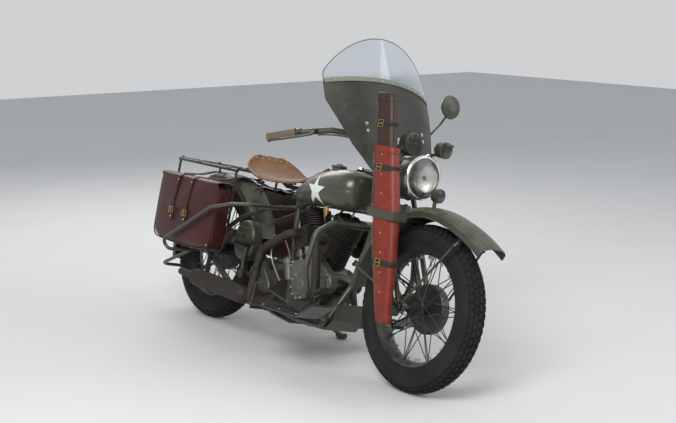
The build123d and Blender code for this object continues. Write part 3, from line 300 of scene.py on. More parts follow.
def group_shell(name, outputs, **inputs):
    """Empty shader group with its outputs and with its inputs at their defaults, all of them numbers."""
    tree = bpy.data.node_groups.new(name, "ShaderNodeTree")
    for label, value in inputs.items():
        socket = tree.interface.new_socket(
            label.replace("_", " "), in_out="INPUT", socket_type="NodeSocketFloat")
        socket.default_value = value
    for label in outputs:
        tree.interface.new_socket(label, in_out="OUTPUT", socket_type="NodeSocketFloat")
    return tree, node(tree, "NodeGroupInput").outputs, node(tree, "NodeGroupOutput")


def make_edge_wear():
    """Group: a mask of the rubbed edges, broken up by noise."""
    tree, given, end = group_shell("Edge Wear", ("Mask",), Width=0.002, Amount=0.4)
    bevel = tune(tree, node(tree, "ShaderNodeBevel", samples=4), Radius=given["Width"])
    dot = node(tree, "ShaderNodeVectorMath", operation="DOT_PRODUCT")
    feed(tree, dot.inputs[0], bevel.outputs[0])
    feed(tree, dot.inputs[1], node(tree, "ShaderNodeNewGeometry").outputs["Normal"])
    turned = maths(tree, "SUBTRACT", 1.0, dot.outputs["Value"])
    broken = ramp(tree, noise(tree, 90.0, 6.0, 0.7), 0.42, 0.62)
    mask = maths(tree, "MULTIPLY", ramp(tree, turned, 0.02, 0.16), broken)
    tune(tree, end, Mask=maths(tree, "MULTIPLY", mask, given["Amount"], clamp=True))
    return tree


def make_dust():
    """Group: a mask of dust on faces that look up, and of grime that grows towards the ground."""
    tree, given, end = group_shell("Road Dust", ("Dust", "Grime"), Amount=0.3, Height=0.35)
    patches = ramp(tree, noise(tree, 14.0, 6.0, 0.65), 0.35, 0.75)
    normal = parts_of(tree, node(tree, "ShaderNodeNewGeometry").outputs["Normal"])
    height = maths(tree, "DIVIDE", parts_of(tree, object_place(tree))["Z"], given["Height"])
    low = maths(tree, "SUBTRACT", 1.0, height, clamp=True)
    for label, mask in (("Dust", ramp(tree, normal["Z"], 0.2, 0.95)), ("Grime", low)):
        share = maths(tree, "MULTIPLY", maths(tree, "MULTIPLY", mask, patches), given["Amount"], clamp=True)
        feed(tree, end.inputs[label], share)
    return tree


def make_grain():
    """Group: fine surface grain and broad patches for colour and roughness."""
    tree, given, end = group_shell("Surface Grain", ("Height", "Patch"), Fine=700.0, Broad=9.0)
    tune(tree, end, Height=noise(tree, given["Fine"], 3.0, 0.62),
         Patch=noise(tree, given["Broad"], 6.0, 0.62))
    return tree


def make_leather():
    """Group: leather pores and creases as a height, with rubbed patches."""
    tree, given, end = group_shell("Leather Grain", ("Height", "Rub"), Pores=420.0, Creases=26.0)
    cells = node(tree, "ShaderNodeTexVoronoi", feature="DISTANCE_TO_EDGE")
    tune(tree, cells, Vector=object_place(tree), Scale=given["Pores"])
    pores = ramp(tree, cells.outputs["Distance"], 0.0, 0.12)
    folds = noise(tree, given["Creases"], 8.0, 0.5, Distortion=1.2)
    creases = ramp(tree, maths(tree, "ABSOLUTE", maths(tree, "SUBTRACT", folds, 0.5)), 0.0, 0.03)
    height = maths(tree, "ADD", maths(tree, "MULTIPLY", pores, 0.35), maths(tree, "MULTIPLY", creases, 0.65))
    tune(tree, end, Height=height, Rub=ramp(tree, folds, 0.45, 0.72))
    return tree


def make_weave():
    """Group: plain weave of crossing threads."""
    tree, given, end = group_shell("Weave", ("Height",), Threads=900.0)
    sets = []
    for direction in ("X", "Z"):
        bands = node(tree, "ShaderNodeTexWave", wave_type="BANDS", bands_direction=direction)
        tune(tree, bands, Vector=object_place(tree), Scale=given["Threads"], Distortion=0.3)
        sets.append(bands.outputs["Fac"])
    tune(tree, end, Height=maths(tree, "MULTIPLY", *sets))
    return tree


def star_edge():
    """Normal of a star's edge beside its upper point, and its distance from the middle, at radius 1."""
    notch = Vector((math.cos(math.pi / 5), math.sin(math.pi / 5))) * 0.382
    edge = notch - Vector((1.0, 0.0))
    out = Vector((edge.y, -edge.x)).normalized()
    return out, out.x


def make_star():
    """Group: five-point star seen from the side of the upright machine."""
    tree, given, end = group_shell("Painted Star", ("Mask",), Centre_X=0.8, Centre_Z=0.72, Radius=0.07)
    upright = node(tree, "ShaderNodeMapping", vector_type="TEXTURE")
    upright.inputs["Location"].default_value = PARKED
    upright.inputs["Rotation"].default_value = (-LEAN, 0, 0)
    feed(tree, upright.inputs["Vector"], object_place(tree))
    place = parts_of(tree, upright.outputs[0])
    across = maths(tree, "SUBTRACT", place["X"], given["Centre X"])
    up = maths(tree, "SUBTRACT", place["Z"], given["Centre Z"])
    squares = maths(tree, "ADD", maths(tree, "MULTIPLY", across, across), maths(tree, "MULTIPLY", up, up))
    reach = maths(tree, "SQRT", squares)
    fifth = 2 * math.pi / 5
    angle = maths(tree, "ADD", maths(tree, "ARCTAN2", across, up), fifth / 2)
    folded = maths(tree, "SUBTRACT", maths(tree, "FLOORED_MODULO", angle, fifth), fifth / 2)
    folded = maths(tree, "ABSOLUTE", folded)
    out, limit = star_edge()
    ahead = maths(tree, "MULTIPLY", reach, maths(tree, "COSINE", folded))
    aside = maths(tree, "MULTIPLY", reach, maths(tree, "SINE", folded))
    beyond = maths(tree, "ADD", maths(tree, "MULTIPLY", ahead, out.x), maths(tree, "MULTIPLY", aside, out.y))
    share = maths(tree, "DIVIDE", beyond, given["Radius"])
    scuffs = maths(tree, "MULTIPLY", maths(tree, "SUBTRACT", noise(tree, 160.0, 5.0, 0.7), 0.5), 0.05)
    soft = node(tree, "ShaderNodeMapRange", interpolation_type="LINEAR")
    tune(tree, soft, Value=maths(tree, "ADD", share, scuffs), From_Min=limit - 0.015, From_Max=limit + 0.015,
         To_Min=1.0, To_Max=0.0)
    tune(tree, end, Mask=soft.outputs["Result"])
    return tree


GROUP_MAKERS = {"Edge Wear": make_edge_wear, "Road Dust": make_dust, "Surface Grain": make_grain,
                "Leather Grain": make_leather, "Weave": make_weave, "Painted Star": make_star}


def group(tree, name, **values):
    """Outputs of a placed copy of a shared group, with its inputs set."""
    made = node(tree, "ShaderNodeGroup", node_tree=bpy.data.node_groups.get(name) or GROUP_MAKERS[name]())
    return tune(tree, made, **values).outputs


# finishes

DUST_COLOUR = (0.30, 0.26, 0.19)


def new_finish(name):
    """Material with a bare Principled shader."""
    made = bpy.data.materials.new(name)
    made.use_nodes = True
    return made, made.node_tree, made.node_tree.nodes["Principled BSDF"]


def set_bump(tree, shader, height, strength, distance):
    """Feed a height into the shader's normal."""
    bump = tune(tree, node(tree, "ShaderNodeBump"), Strength=strength, Distance=distance, Height=height)
    tune(tree, shader, Normal=bump.outputs[0])


def shift(colour, factor):
    """Colour made lighter or darker."""
    return tuple(min(1.0, part * factor) for part in colour[:3])


def patchy(tree, patch, colour, dark, light):
    """Colour that varies over broad patches between a darker and a lighter shade."""
    return blend_colour(tree, patch, shift(colour, dark), shift(colour, light))


def varied(tree, patch, spread, base, clamp=False):
    """Roughness that varies over broad patches."""
    return maths(tree, "ADD", maths(tree, "MULTIPLY", patch, spread), base, clamp)


def painted(name, colour, bare, rough=0.42, coat=0.25, wear=None, dust=None, star=None):
    """Painted metal with worn edges, dust, orange peel and, at an (x, z) place, a white star."""
    made, tree, shader = new_finish(name)
    values = settings()
    grain = group(tree, "Surface Grain", Fine=520.0, Broad=7.0)
    base = patchy(tree, grain["Patch"], colour, 0.78, 1.28)
    if star:
        mark = group(tree, "Painted Star", Radius=values.star, Centre_X=star[0], Centre_Z=star[1])
        chalk = blend_colour(tree, grain["Patch"], (0.62, 0.62, 0.56), (0.80, 0.80, 0.75))
        base = blend_colour(tree, mark["Mask"], base, chalk)
    rubbed = group(tree, "Edge Wear", Width=0.0016, Amount=values.wear if wear is None else wear)["Mask"]
    base = blend_colour(tree, rubbed, base, bare)
    dirt = group(tree, "Road Dust", Amount=values.dust if dust is None else dust)
    base = blend_colour(tree, dirt["Dust"], base, DUST_COLOUR)
    base = blend_colour(tree, dirt["Grime"], base, shift(DUST_COLOUR, 0.45))
    roughness = varied(tree, grain["Patch"], 0.22, rough - 0.11)
    roughness = maths(tree, "ADD", roughness, maths(tree, "MULTIPLY", dirt["Dust"], 0.4), clamp=True)
    tune(tree, shader, Base_Color=base, Roughness=roughness, Metallic=maths(tree, "MULTIPLY", rubbed, 0.9),
         Coat_Weight=coat, Coat_Roughness=0.22)
    set_bump(tree, shader, grain["Height"], 0.12, 0.0004)
    return made


def metal(name, colour, rough, stain=(0.10, 0.08, 0.06), stain_share=0.35, cast=0.0, dust=None):
    """Bare or plated metal with stains, fine scratches and an optional cast skin."""
    made, tree, shader = new_finish(name)
    grain = group(tree, "Surface Grain", Fine=900.0 if cast == 0 else 330.0, Broad=16.0)
    patch = ramp(tree, grain["Patch"], 0.42, 0.78)
    base = blend_colour(tree, maths(tree, "MULTIPLY", patch, stain_share), colour, stain)
    dirt = group(tree, "Road Dust", Amount=settings().dust if dust is None else dust)
    base = blend_colour(tree, dirt["Dust"], base, DUST_COLOUR)
    tune(tree, shader, Base_Color=base, Metallic=1.0 if cast == 0 else 0.75,
         Roughness=varied(tree, grain["Patch"], 0.25, rough - 0.10, True))
    set_bump(tree, shader, grain["Height"], 0.10 + cast, 0.0005)
    return made


def rust(name):
    """Heated and rusted pipe."""
    made, tree, shader = new_finish(name)
    grain = group(tree, "Surface Grain", Fine=260.0, Broad=22.0)
    base = blend_colour(tree, ramp(tree, grain["Patch"], 0.35, 0.65), (0.022, 0.020, 0.018),
                        (0.046, 0.031, 0.023))
    base = blend_colour(tree, ramp(tree, grain["Height"], 0.55, 0.75), base, (0.042, 0.037, 0.031))
    tune(tree, shader, Base_Color=base, Roughness=ramp(tree, grain["Patch"], -0.6, 1.2), Metallic=0.35)
    set_bump(tree, shader, grain["Height"], 0.35, 0.0006)
    return made


def rubber(name, colour, dusty=0.16, rough=0.80):
    """Rubber with a dusty bloom."""
    made, tree, shader = new_finish(name)
    grain = group(tree, "Surface Grain", Fine=420.0, Broad=12.0)
    base = patchy(tree, grain["Patch"], colour, 0.7, 1.5)
    bloom = maths(tree, "MULTIPLY", ramp(tree, grain["Patch"], 0.35, 0.8), dusty)
    base = blend_colour(tree, bloom, base, (0.075, 0.068, 0.056))
    tune(tree, shader, Base_Color=base, Roughness=varied(tree, grain["Patch"], 0.2, rough - 0.1),
         Specular_IOR_Level=0.25)
    set_bump(tree, shader, grain["Height"], 0.18, 0.0005)
    return made


def leather(name, colour, rough, pores, creases, rub, strength):
    """Leather with pores, creases, rubbed lighter patches and painted shade in the pores and creases."""
    made, tree, shader = new_finish(name)
    hide = group(tree, "Leather Grain", Pores=pores, Creases=creases)
    grain = group(tree, "Surface Grain", Fine=300.0, Broad=8.0)
    base = patchy(tree, grain["Patch"], colour, 0.55, 1.35)
    base = blend_colour(tree, maths(tree, "MULTIPLY", hide["Rub"], rub), base, shift(colour, 1.6))
    # painted shade: the colour darkens towards a third of the leather's colour in the pores and creases, where the
    # grain's height is low
    dark = maths(tree, "SUBTRACT", 1.0, hide["Height"], clamp=True)
    base = blend_colour(tree, maths(tree, "MULTIPLY", dark, 0.6), base, shift(colour, 0.35))
    tune(tree, shader, Base_Color=base, Roughness=varied(tree, grain["Patch"], 0.25, rough - 0.12),
         Specular_IOR_Level=0.35, Coat_Weight=0.05, Coat_Roughness=0.35)
    set_bump(tree, shader, hide["Height"], strength, 0.0006)
    return made


def webbing(name, colour):
    """Woven strap or canvas, with painted shade between the threads."""
    made, tree, shader = new_finish(name)
    threads = group(tree, "Weave", Threads=1300.0)["Height"]
    grain = group(tree, "Surface Grain", Fine=500.0, Broad=14.0)
    base = patchy(tree, grain["Patch"], colour, 0.7, 1.3)
    # painted shade: the gaps between the threads take half the colour
    base = blend_colour(tree, threads, shift(colour, 0.5), base)
    tune(tree, shader, Base_Color=base, Roughness=0.9, Sheen_Weight=0.2)
    set_bump(tree, shader, threads, 0.4, 0.0004)
    return made


def clear(name, colour, haze=0.06, tint=0.9):
    """Clear sheet or lens with light haze and rubbed streaks."""
    made, tree, shader = new_finish(name)
    grain = group(tree, "Surface Grain", Fine=60.0, Broad=5.0)
    tune(tree, shader, Base_Color=patchy(tree, grain["Patch"], colour, tint, 1.0), Transmission_Weight=1.0,
         Roughness=maths(tree, "MULTIPLY", grain["Patch"], haze * 2), IOR=1.45)
    return made


def all_finishes():
    """Every named finish of the machine."""
    values = settings()
    paint, bags = tuple(values.paint), tuple(values.bags)
    bare = (0.20, 0.19, 0.16)
    return {
        "olive": painted("olive_paint", paint, bare),
        "tank": painted("olive_paint_star", paint, bare, rough=0.34, coat=0.5, star=(0.8460, 0.7060)),
        "black": painted("black_enamel", (0.014, 0.014, 0.014), (0.16, 0.14, 0.12), rough=0.36, coat=0.3),
        "rim": painted("black_rim_enamel", (0.016, 0.015, 0.014), (0.12, 0.10, 0.08), rough=0.5, wear=0.6),
        "iron": metal("engine_iron", (0.040, 0.038, 0.036), 0.62, (0.10, 0.06, 0.04), 0.5, cast=0.3),
        "alloy": metal("cast_alloy", (0.15, 0.145, 0.13), 0.50, (0.07, 0.06, 0.05), 0.75, cast=0.3),
        "steel": metal("plain_steel", (0.46, 0.45, 0.42), 0.38, (0.14, 0.09, 0.06), 0.35),
        "dull": metal("dull_parkerised_steel", (0.075, 0.075, 0.07), 0.55, (0.12, 0.07, 0.04), 0.4),
        "chrome": metal("bright_plating", (0.80, 0.80, 0.79), 0.16, (0.30, 0.27, 0.22), 0.25, dust=0.05),
        "brass": metal("brass", (0.66, 0.44, 0.16), 0.34, (0.18, 0.12, 0.05), 0.4),
        "pipe": rust("heated_pipe"),
        "tyre": rubber("tyre_rubber", (0.010, 0.010, 0.010)),
        "grip": rubber("grip_rubber", (0.15, 0.105, 0.07), 0.2, 0.68),
        "black_rubber": rubber("black_rubber", (0.022, 0.022, 0.022), 0.3, 0.72),
        "saddle": leather("saddle_leather", tuple(values.saddle), 0.44, 520.0, 18.0, 0.35, 0.25),
        "bag": leather("bag_leather", bags, 0.40, 360.0, 20.0, 0.45, 0.4),
        "bag_strap": leather("strap_leather", shift(bags, 0.7), 0.45, 480.0, 34.0, 0.5, 0.3),
        "boot": leather("scabbard_leather", tuple(values.boot), 0.40, 380.0, 14.0, 0.35, 0.3),
        "sleeve": leather("scabbard_dark_leather", (0.040, 0.017, 0.010), 0.46, 380.0, 16.0, 0.3, 0.3),
        "black_strap": leather("black_strap_leather", (0.020, 0.018, 0.016), 0.42, 480.0, 30.0, 0.3, 0.3),
        "apron": painted(
            "apron_sheet", tuple(values.apron), (0.05, 0.05, 0.04), rough=0.5, coat=0.15, wear=0.1),
        "trim": webbing("sheet_trim", (0.30, 0.33, 0.24)),
        "strap": webbing("web_strap", (0.12, 0.12, 0.07)),
        # the clear sheet's blue tint is partly its own and partly a painted reflection of the sky
        "sheet": clear("clear_sheet", (0.84, 0.90, 0.96)),
        "glass": clear("lamp_glass", (0.96, 0.97, 0.95), 0.02),
        "red": clear("red_glass", (0.60, 0.02, 0.01), 0.05, 0.8),
        "amber": clear("amber_glass", (0.85, 0.42, 0.08), 0.05, 0.8),
        "mirror": metal("mirror_glass", (0.75, 0.78, 0.80), 0.05, (0.5, 0.5, 0.5), 0.1, dust=0.02),
        "dial": painted("dial_face", (0.60, 0.60, 0.54), (0.3, 0.3, 0.3), rough=0.4, wear=0.0, dust=0.0),
    }


FINISH = {}


def finish(name):
    """One finish by its name, made on first use with the rest."""
    if not FINISH:
        FINISH.update(all_finishes())
    return FINISH[name]


# finishes of the solids that are not olive

CAD_FINISH = {
    "crankcase": "alloy", "cylinders": "iron", "transmission": "alloy", "drive_chain": "dull",
    "generator": "black", "carburettor": "alloy", "exhaust_pipes": "pipe", "muffler": "pipe",
    "fuel_tanks": "tank", "instrument_dash": "black", "saddle": "saddle", "saddle_post": "dull",
    "luggage_rack": "black", "saddlebags": "bag", "footboards": "black", "foot_pedals": "dull",
    "shift_lever": "dull", "kick_starter": "dull", "grips": "grip", "windshield": "sheet",
    "windshield_apron": "apron", "headlight_lens": "glass", "scabbard": "boot", "front_tyre": "tyre",
    "rear_tyre": "tyre", "front_wheel": "rim", "rear_wheel": "rim",
}


# modelling help

HEXAGON_REACH = 0.577


def clear_selection():
    """Back to object mode with nothing selected."""
    if bpy.context.object and bpy.context.object.mode != "OBJECT":
        bpy.ops.object.mode_set(mode="OBJECT")
    bpy.ops.object.select_all(action="DESELECT")


def pick(thing):
    """Make one object the active and only selected one."""
    clear_selection()
    thing.select_set(True)
    bpy.context.view_layer.objects.active = thing
    return thing


def edit_all(thing):
    """Enter edit mode on one object with all of it selected."""
    pick(thing)
    bpy.ops.object.mode_set(mode="EDIT")
    bpy.ops.mesh.select_all(action="SELECT")


def add_object(name, data):
    """New object in the scene, picked."""
    made = bpy.data.objects.new(name, data)
    bpy.context.scene.collection.objects.link(made)
    return pick(made)


def mesh_from(name, points, faces=(), edges=()):
    """New mesh object from points in metres."""
    mesh = bpy.data.meshes.new(name)
    mesh.from_pydata(points, edges, faces)
    return add_object(name, mesh)


def tidy_normals(thing, merge=0.00005):
    """Merge doubles and turn the faces outwards."""
    edit_all(thing)
    bpy.ops.mesh.remove_doubles(threshold=merge)
    bpy.ops.mesh.normals_make_consistent(inside=False)
    bpy.ops.object.mode_set(mode="OBJECT")
    return thing


def apply_modifier(thing, kind, **values):
    """Add a modifier, set it and apply it."""
    pick(thing)
    made = thing.modifiers.new(kind.title(), kind)
    for label, value in values.items():
        setattr(made, label, value)
    bpy.ops.object.modifier_apply(modifier=made.name)
    return thing


def round_edges(thing, width, segments=2, angle=40.0):
    """Bevel the sharp edges, to a width in metres."""
    return apply_modifier(thing, "BEVEL", width=width, segments=segments, limit_method="ANGLE",
                          angle_limit=math.radians(angle))


def thicken(thing, thick, offset=0.0):
    """Give a sheet its thickness in metres."""
    return tidy_normals(apply_modifier(thing, "SOLIDIFY", thickness=thick, offset=offset))


def grid_sheet(name, rows):
    """Sheet of four-sided faces through rows of points."""
    count = len(rows[0])
    faces = [(i * count + j, i * count + j + 1, (i + 1) * count + j + 1, (i + 1) * count + j)
             for i in range(len(rows) - 1) for j in range(count - 1)]
    return mesh_from(name, [point for row in rows for point in row], faces)


def band(spine, width, thick):
    """Flat strap along a line, its width along the machine. Sizes are in millimetres."""
    half = mm(width / 2, 0, 0)
    return thicken(grid_sheet("band", [(place - half, place + half) for place in spine]), thick * 0.001)


def lathe(name, profile, origin, axis, steps=48):
    """Solid of revolution. The profile is (along, radius) in millimetres from the origin."""
    axis = Vector(axis).normalized()
    side = axis.cross(ACROSS)
    if side.length < 0.1:
        side = axis.cross(AHEAD)
    side.normalize()
    points = [origin + axis * (along * 0.001) + side * (radius * 0.001) for along, radius in profile]
    made = mesh_from(name, points, edges=[(i, i + 1) for i in range(len(points) - 1)])
    edit_all(made)
    bpy.ops.mesh.spin(steps=steps, angle=math.tau, center=origin, axis=axis)
    return tidy_normals(made)


def tube(name, points, radius, smooth=True, resolution=6, ring=3, cyclic=False):
    """Round bar along points in metres, its radius in millimetres."""
    curve = bpy.data.curves.new(name, "CURVE")
    curve.dimensions = "3D"
    curve.bevel_depth = radius * 0.001
    curve.bevel_resolution = ring
    curve.resolution_u = resolution
    curve.use_fill_caps = not cyclic
    line = curve.splines.new("NURBS" if smooth else "POLY")
    line.points.add(len(points) - 1)
    for spot, place in zip(line.points, points):
        spot.co = (*place, 1.0)
    if smooth:
        line.order_u = 3
        line.use_endpoint_u = not cyclic
    line.use_cyclic_u = cyclic
    made = add_object(name, curve)
    bpy.ops.object.convert(target="MESH")
    return tidy_normals(made)


def rod(name, start, end, radius, ring=3):
    """Straight round bar between two points in metres, its radius in millimetres."""
    return tube(name, [start, end], radius, False, ring=ring)


def slab(name, outline, low, high, bevel):
    """Outline of (x, z), extruded across the machine between two y. All is in millimetres."""
    made = mesh_from(name, [mm(x, low, z) for x, z in outline], faces=[tuple(range(len(outline)))])
    edit_all(made)
    bpy.ops.mesh.extrude_region_move(TRANSFORM_OT_translate={"value": (0, (high - low) * 0.001, 0)})
    return round_edges(tidy_normals(made), bevel * 0.001)


def block(name, centre, size, bevel, turn=None):
    """Bevelled block, its centre in metres and its size in millimetres, with an optional rotation."""
    clear_selection()
    bpy.ops.mesh.primitive_cube_add(size=1)
    made = bpy.context.object
    made.name = name
    made.data.transform(Matrix.Diagonal((*mm(*size), 1.0)))
    round_edges(made, bevel * 0.001)
    if turn is not None:
        made.data.transform(turn.to_4x4())
    made.data.transform(Matrix.Translation(centre))
    return made


def nut(name, place, axis, across=12.0, high=6.0, washer=True):
    """Hexagon head on a washer, with its stud's end. The place is in metres, sizes in millimetres."""
    clear_selection()
    bpy.ops.mesh.primitive_cylinder_add(
        vertices=6, radius=across * HEXAGON_REACH * 0.001, depth=high * 0.001)
    head = bpy.context.object
    round_edges(head, across * 0.00006, 1, 25)
    head.data.transform(Matrix.Translation((0, 0, high * 0.0005)))
    parts = [head]
    if washer:
        bpy.ops.mesh.primitive_cylinder_add(vertices=16, radius=across * 0.00078, depth=0.0012)
        parts.append(bpy.context.object)
    bpy.ops.mesh.primitive_cylinder_add(
        vertices=10, radius=across * 0.00028, depth=0.003, location=(0, 0, high * 0.001 + 0.0005))
    parts.append(bpy.context.object)
    made = join(name, parts)
    made.data.transform(Vector(axis).normalized().to_track_quat("Z", "Y").to_matrix().to_4x4())
    made.data.transform(Matrix.Translation(place))
    return made


def buckle(middle, wide, tall, tongue):
    """Wire frame and tongue of a buckle about a point in metres, in millimetres from it."""
    corners = [middle + mm(x * wide, 0, z * tall) for x, z in ((-1, 1), (1, 1), (1, -1), (-1, -1))]
    return [tube("frame", corners, 2.0, False, cyclic=True),
            rod("tongue", *(middle + mm(*end) for end in tongue), 1.6)]


def join(name, parts):
    """One object from several."""
    clear_selection()
    for part in parts:
        part.select_set(True)
    bpy.context.view_layer.objects.active = parts[0]
    if len(parts) > 1:
        bpy.ops.object.join()
    made = bpy.context.object
    made.name = name
    made.data.name = name
    return made


def copy_of(thing, matrix=MIRROR):
    """Copy with its own mesh, moved by a matrix or mirrored to the other side."""
    made = thing.copy()
    made.data = thing.data.copy()
    made.data.transform(matrix)
    if matrix.determinant() < 0:
        made.data.flip_normals()
    bpy.context.scene.collection.objects.link(made)
    return made


def upright_points(name):
    """Corners of a solid, with the machine upright, in metres."""
    return [UPRIGHT.inverted() @ vertex.co for vertex in NODES[name].data.vertices]


def settle(parts, name, look, body, slot, replaces=(), smooth=38.0):
    """Join parts, lean them with the machine, give them their finish and fix them to their body."""
    made = pick(join(name, parts))
    bpy.ops.object.transform_apply(location=True, rotation=True, scale=True)
    made.data.transform(UPRIGHT)
    bpy.ops.object.shade_smooth_by_angle(angle=math.radians(smooth))
    made.data.materials.clear()
    made.data.materials.append(finish(look))
    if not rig.alive(made) or not made.data.polygons:
        raise RuntimeError(name + " has no faces")
    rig.ride(made, body)
    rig.slot(made, slot)
    if replaces:
        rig.replaces(made, *replaces)
    clear_selection()


class PieceOperator:
    """Common part of the operators."""

    bl_options = {"REGISTER"}

    def build(self):
        """Make the piece. Each operator has its own."""
        raise NotImplementedError

    def execute(self, context):
        """Build the piece."""
        clear_selection()
        self.build()
        clear_selection()
        return {"FINISHED"}


class MOTORCYCLE_OT_finishes(PieceOperator, bpy.types.Operator):
    """Give every carried-over solid its paint, metal, leather or rubber"""

    bl_idname = "motorcycle.finishes"
    bl_label = "Finishes"

    def build(self):
        for name, solid in NODES.items():
            look = finish(CAD_FINISH.get(name, "olive"))
            for material_slot in solid.material_slots:
                material_slot.material = look
            if not solid.material_slots:
                solid.data.materials.append(look)


# wheels and tyres

WHEEL_X = {"front": WHEELBASE, "rear": 0.0}
SECTION_RADIUS = 281.0
SECTION_TUBE = 52.0
TYRE_BEAD = 231.0
HUB_FACE = 60.0
DRUM_FACE = 56.2
SPOKES = 40


def settle_on_wheel(parts, label, name, look, slot, replaces=(), smooth=38.0):
    """Join parts made about the origin, move them to a wheel's axle and settle them on that wheel."""
    made = join(name, parts)
    made.data.transform(Matrix.Translation(mm(WHEEL_X[label], 0, AXLE_Z)))
    settle([made], label + "_" + name, look, label + "_wheel_body", slot, replaces, smooth)


def round_wheel(degrees):
    """Direction from a wheel's middle, turned forward from the top."""
    turn = math.radians(degrees)
    return Vector((math.sin(turn), 0, math.cos(turn)))


def tyre_profile(depth):
    """Section of the casing as (across, radius), thinner under the tread blocks, with two wall lines."""
    line = []
    inner = SECTION_TUBE - depth
    for step in range(-62, 63):
        share = min(1.0, max(0.0, (abs(step) * 2.0 - 52.0) / 10.0))
        reach = inner + (SECTION_TUBE - 1.0 - inner) * share
        if abs(step) in (41, 42, 50):
            reach -= 1.3
        turn = math.radians(step * 2.0)
        line.append((math.sin(turn) * reach, SECTION_RADIUS + math.cos(turn) * reach))
    return [(line[0][0], TYRE_BEAD)] + line + [(line[-1][0], TYRE_BEAD)]


def tread_block(low, high, start, end, skew, depth):
    """Corners of one tyre block between two distances across and two angles, its far side skewed."""
    corners = []
    for top in (False, True):
        inset, pull, drop = (0.9, 0.16, 0.2) if top else (0.0, 0.0, depth + 1.5)
        reach = SECTION_TUBE - drop
        near, far = low + inset, high - inset
        middle = (near + far) / 2
        near_side = [(near, start), (middle, start + skew / 2), (far, start + skew)]
        far_side = [(far, end + skew), (middle, end + skew / 2), (near, end)]
        spots = [(across, turn + pull) for across, turn in near_side]
        spots += [(across, turn - pull) for across, turn in far_side]
        for across, turn in spots:
            slope = math.asin(across / SECTION_TUBE)
            radius = SECTION_RADIUS + math.cos(slope) * reach
            corners.append(round_wheel(turn) * (radius * 0.001) + mm(0, math.sin(slope) * reach, 0))
    return corners


def tread(count, depth):
    """All the blocks of one tyre, about the middle of its wheel."""
    pitch = 360.0 / count
    rows = [(-9.5, 9.5, 0.0, pitch * 0.72, 0.0)]
    for side in (1, -1):
        rows.append((*sorted((side * 12.5, side * 27.0)), pitch * 0.38, pitch * 1.06, side * 0.9))
        rows.append((*sorted((side * 30.0, side * 42.5)), 0.0, pitch * 0.62, side * 0.7))
    sides = [(6, 7, 10, 11), (7, 8, 9, 10)] + [(i, (i + 1) % 6, (i + 1) % 6 + 6, i + 6) for i in range(6)]
    points, faces = [], []
    for index in range(count):
        turn = Matrix.Rotation(math.radians(index * pitch), 4, "Y")
        for row in rows:
            faces += [tuple(len(points) + corner for corner in side) for side in sides]
            points += [turn @ corner for corner in tread_block(*row, depth)]
    return tidy_normals(mesh_from("blocks", points, faces))


class MOTORCYCLE_OT_tyres(PieceOperator, bpy.types.Operator):
    """Both tyres with their casings and road blocks"""

    bl_idname = "motorcycle.tyres"
    bl_label = "Tyres"

    def build(self):
        values = settings()
        depth = values.tread_depth * 1000
        for label in WHEEL_X:
            casing = lathe("casing", tyre_profile(depth), Vector(), ACROSS, 96)
            settle_on_wheel([casing, tread(values.tread_blocks, depth)], label, "road_tyre", "tyre", "tyre",
                            (label + "_tyre",), 30)


class MOTORCYCLE_OT_wheel_details(PieceOperator, bpy.types.Operator):
    """Hub bolts, spoke nipples, valve stems and drum rings"""

    bl_idname = "motorcycle.wheel_details"
    bl_label = "Wheel details"

    def build(self):
        for label in WHEEL_X:
            self.hub_bolts(label)
            self.nipples(label)
            self.drum_rings(label)

    def hub_bolts(self, label):
        """Ring of bolts on both hub faces."""
        bolts = []
        for side in (1, -1):
            for index in range(5):
                place = mm(0, HUB_FACE * side, 0) + round_wheel(72 * index + 18) * 0.024
                bolts.append(nut("bolt", place, (0, side, 0), 10, 5))
        settle_on_wheel(bolts, label, "hub_bolts", "dull", "steel")

    def nipples(self, label):
        """Spoke nipples round the inside of the rim, and the valve stem."""
        clear_selection()
        bpy.ops.mesh.primitive_cone_add(vertices=8, radius1=0.0046, radius2=0.0030, depth=0.016)
        first = bpy.context.object
        first.data.transform(Matrix.Translation(mm(0, 0, 204.5)))
        parts = []
        for index in range(SPOKES):
            lay = Matrix.Translation(mm(0, 6 if index % 2 else -6, 0))
            turn = math.radians(360 / SPOKES * (index + 0.5))
            parts.append(copy_of(first, Matrix.Rotation(turn, 4, "Y") @ lay))
        bpy.data.objects.remove(first)
        parts.append(tube("stem", [mm(0, 0, 211), mm(0, 4, 186), mm(0, 6, 178)], 3.6))
        parts.append(rod("cap", mm(0, 6, 179), mm(0, 8, 168), 4.8))
        settle_on_wheel(parts, label, "spoke_nipples", "steel", "steel")

    def drum_rings(self, label):
        """Stiffening rings on the outer face of the brake drum."""
        rings = []
        for radius, depth in ((96.0, 3.0), (72.0, 2.2), (54.0, 2.2)):
            profile = [(0, radius - 4), (depth, radius - 3), (depth, radius + 1), (0, radius + 2),
                       (0, radius - 4)]
            rings.append(lathe("ring", profile, mm(0, DRUM_FACE, 0), ACROSS, 48))
        settle_on_wheel(rings, label, "drum_rings", "rim", "black_paint")


# saddle

SADDLE_NOSE = (SEAT_X + 167.0, 786.0)
SADDLE_DIP = (SEAT_X - 78.0, 708.0)
SADDLE_TAIL = (SEAT_X - 286.0, 791.0)
SADDLE_CLEAR = 16.0
SADDLE_WIDTHS = [
    # share of the way from tail to nose, half width
    (0.0, 62), (0.03, 112), (0.09, 146), (0.2, 163), (0.35, 165), (0.47, 146), (0.58, 112), (0.66, 82),
    (0.78, 56), (0.9, 42), (0.96, 34), (1.0, 18),
]


def circle_through(first, second, third):
    """Middle and radius of the circle through three points."""
    (ax, az), (bx, bz), (cx, cz) = first, second, third
    turn = 2 * ((bx - ax) * (cz - az) - (bz - az) * (cx - ax))
    near = (bx - ax) ** 2 + (bz - az) ** 2
    far = (cx - ax) ** 2 + (cz - az) ** 2
    x = ax + ((cz - az) * near - (bz - az) * far) / turn
    z = az + ((bx - ax) * far - (cx - ax) * near) / turn
    return x, z, math.dist((ax, az), (x, z))


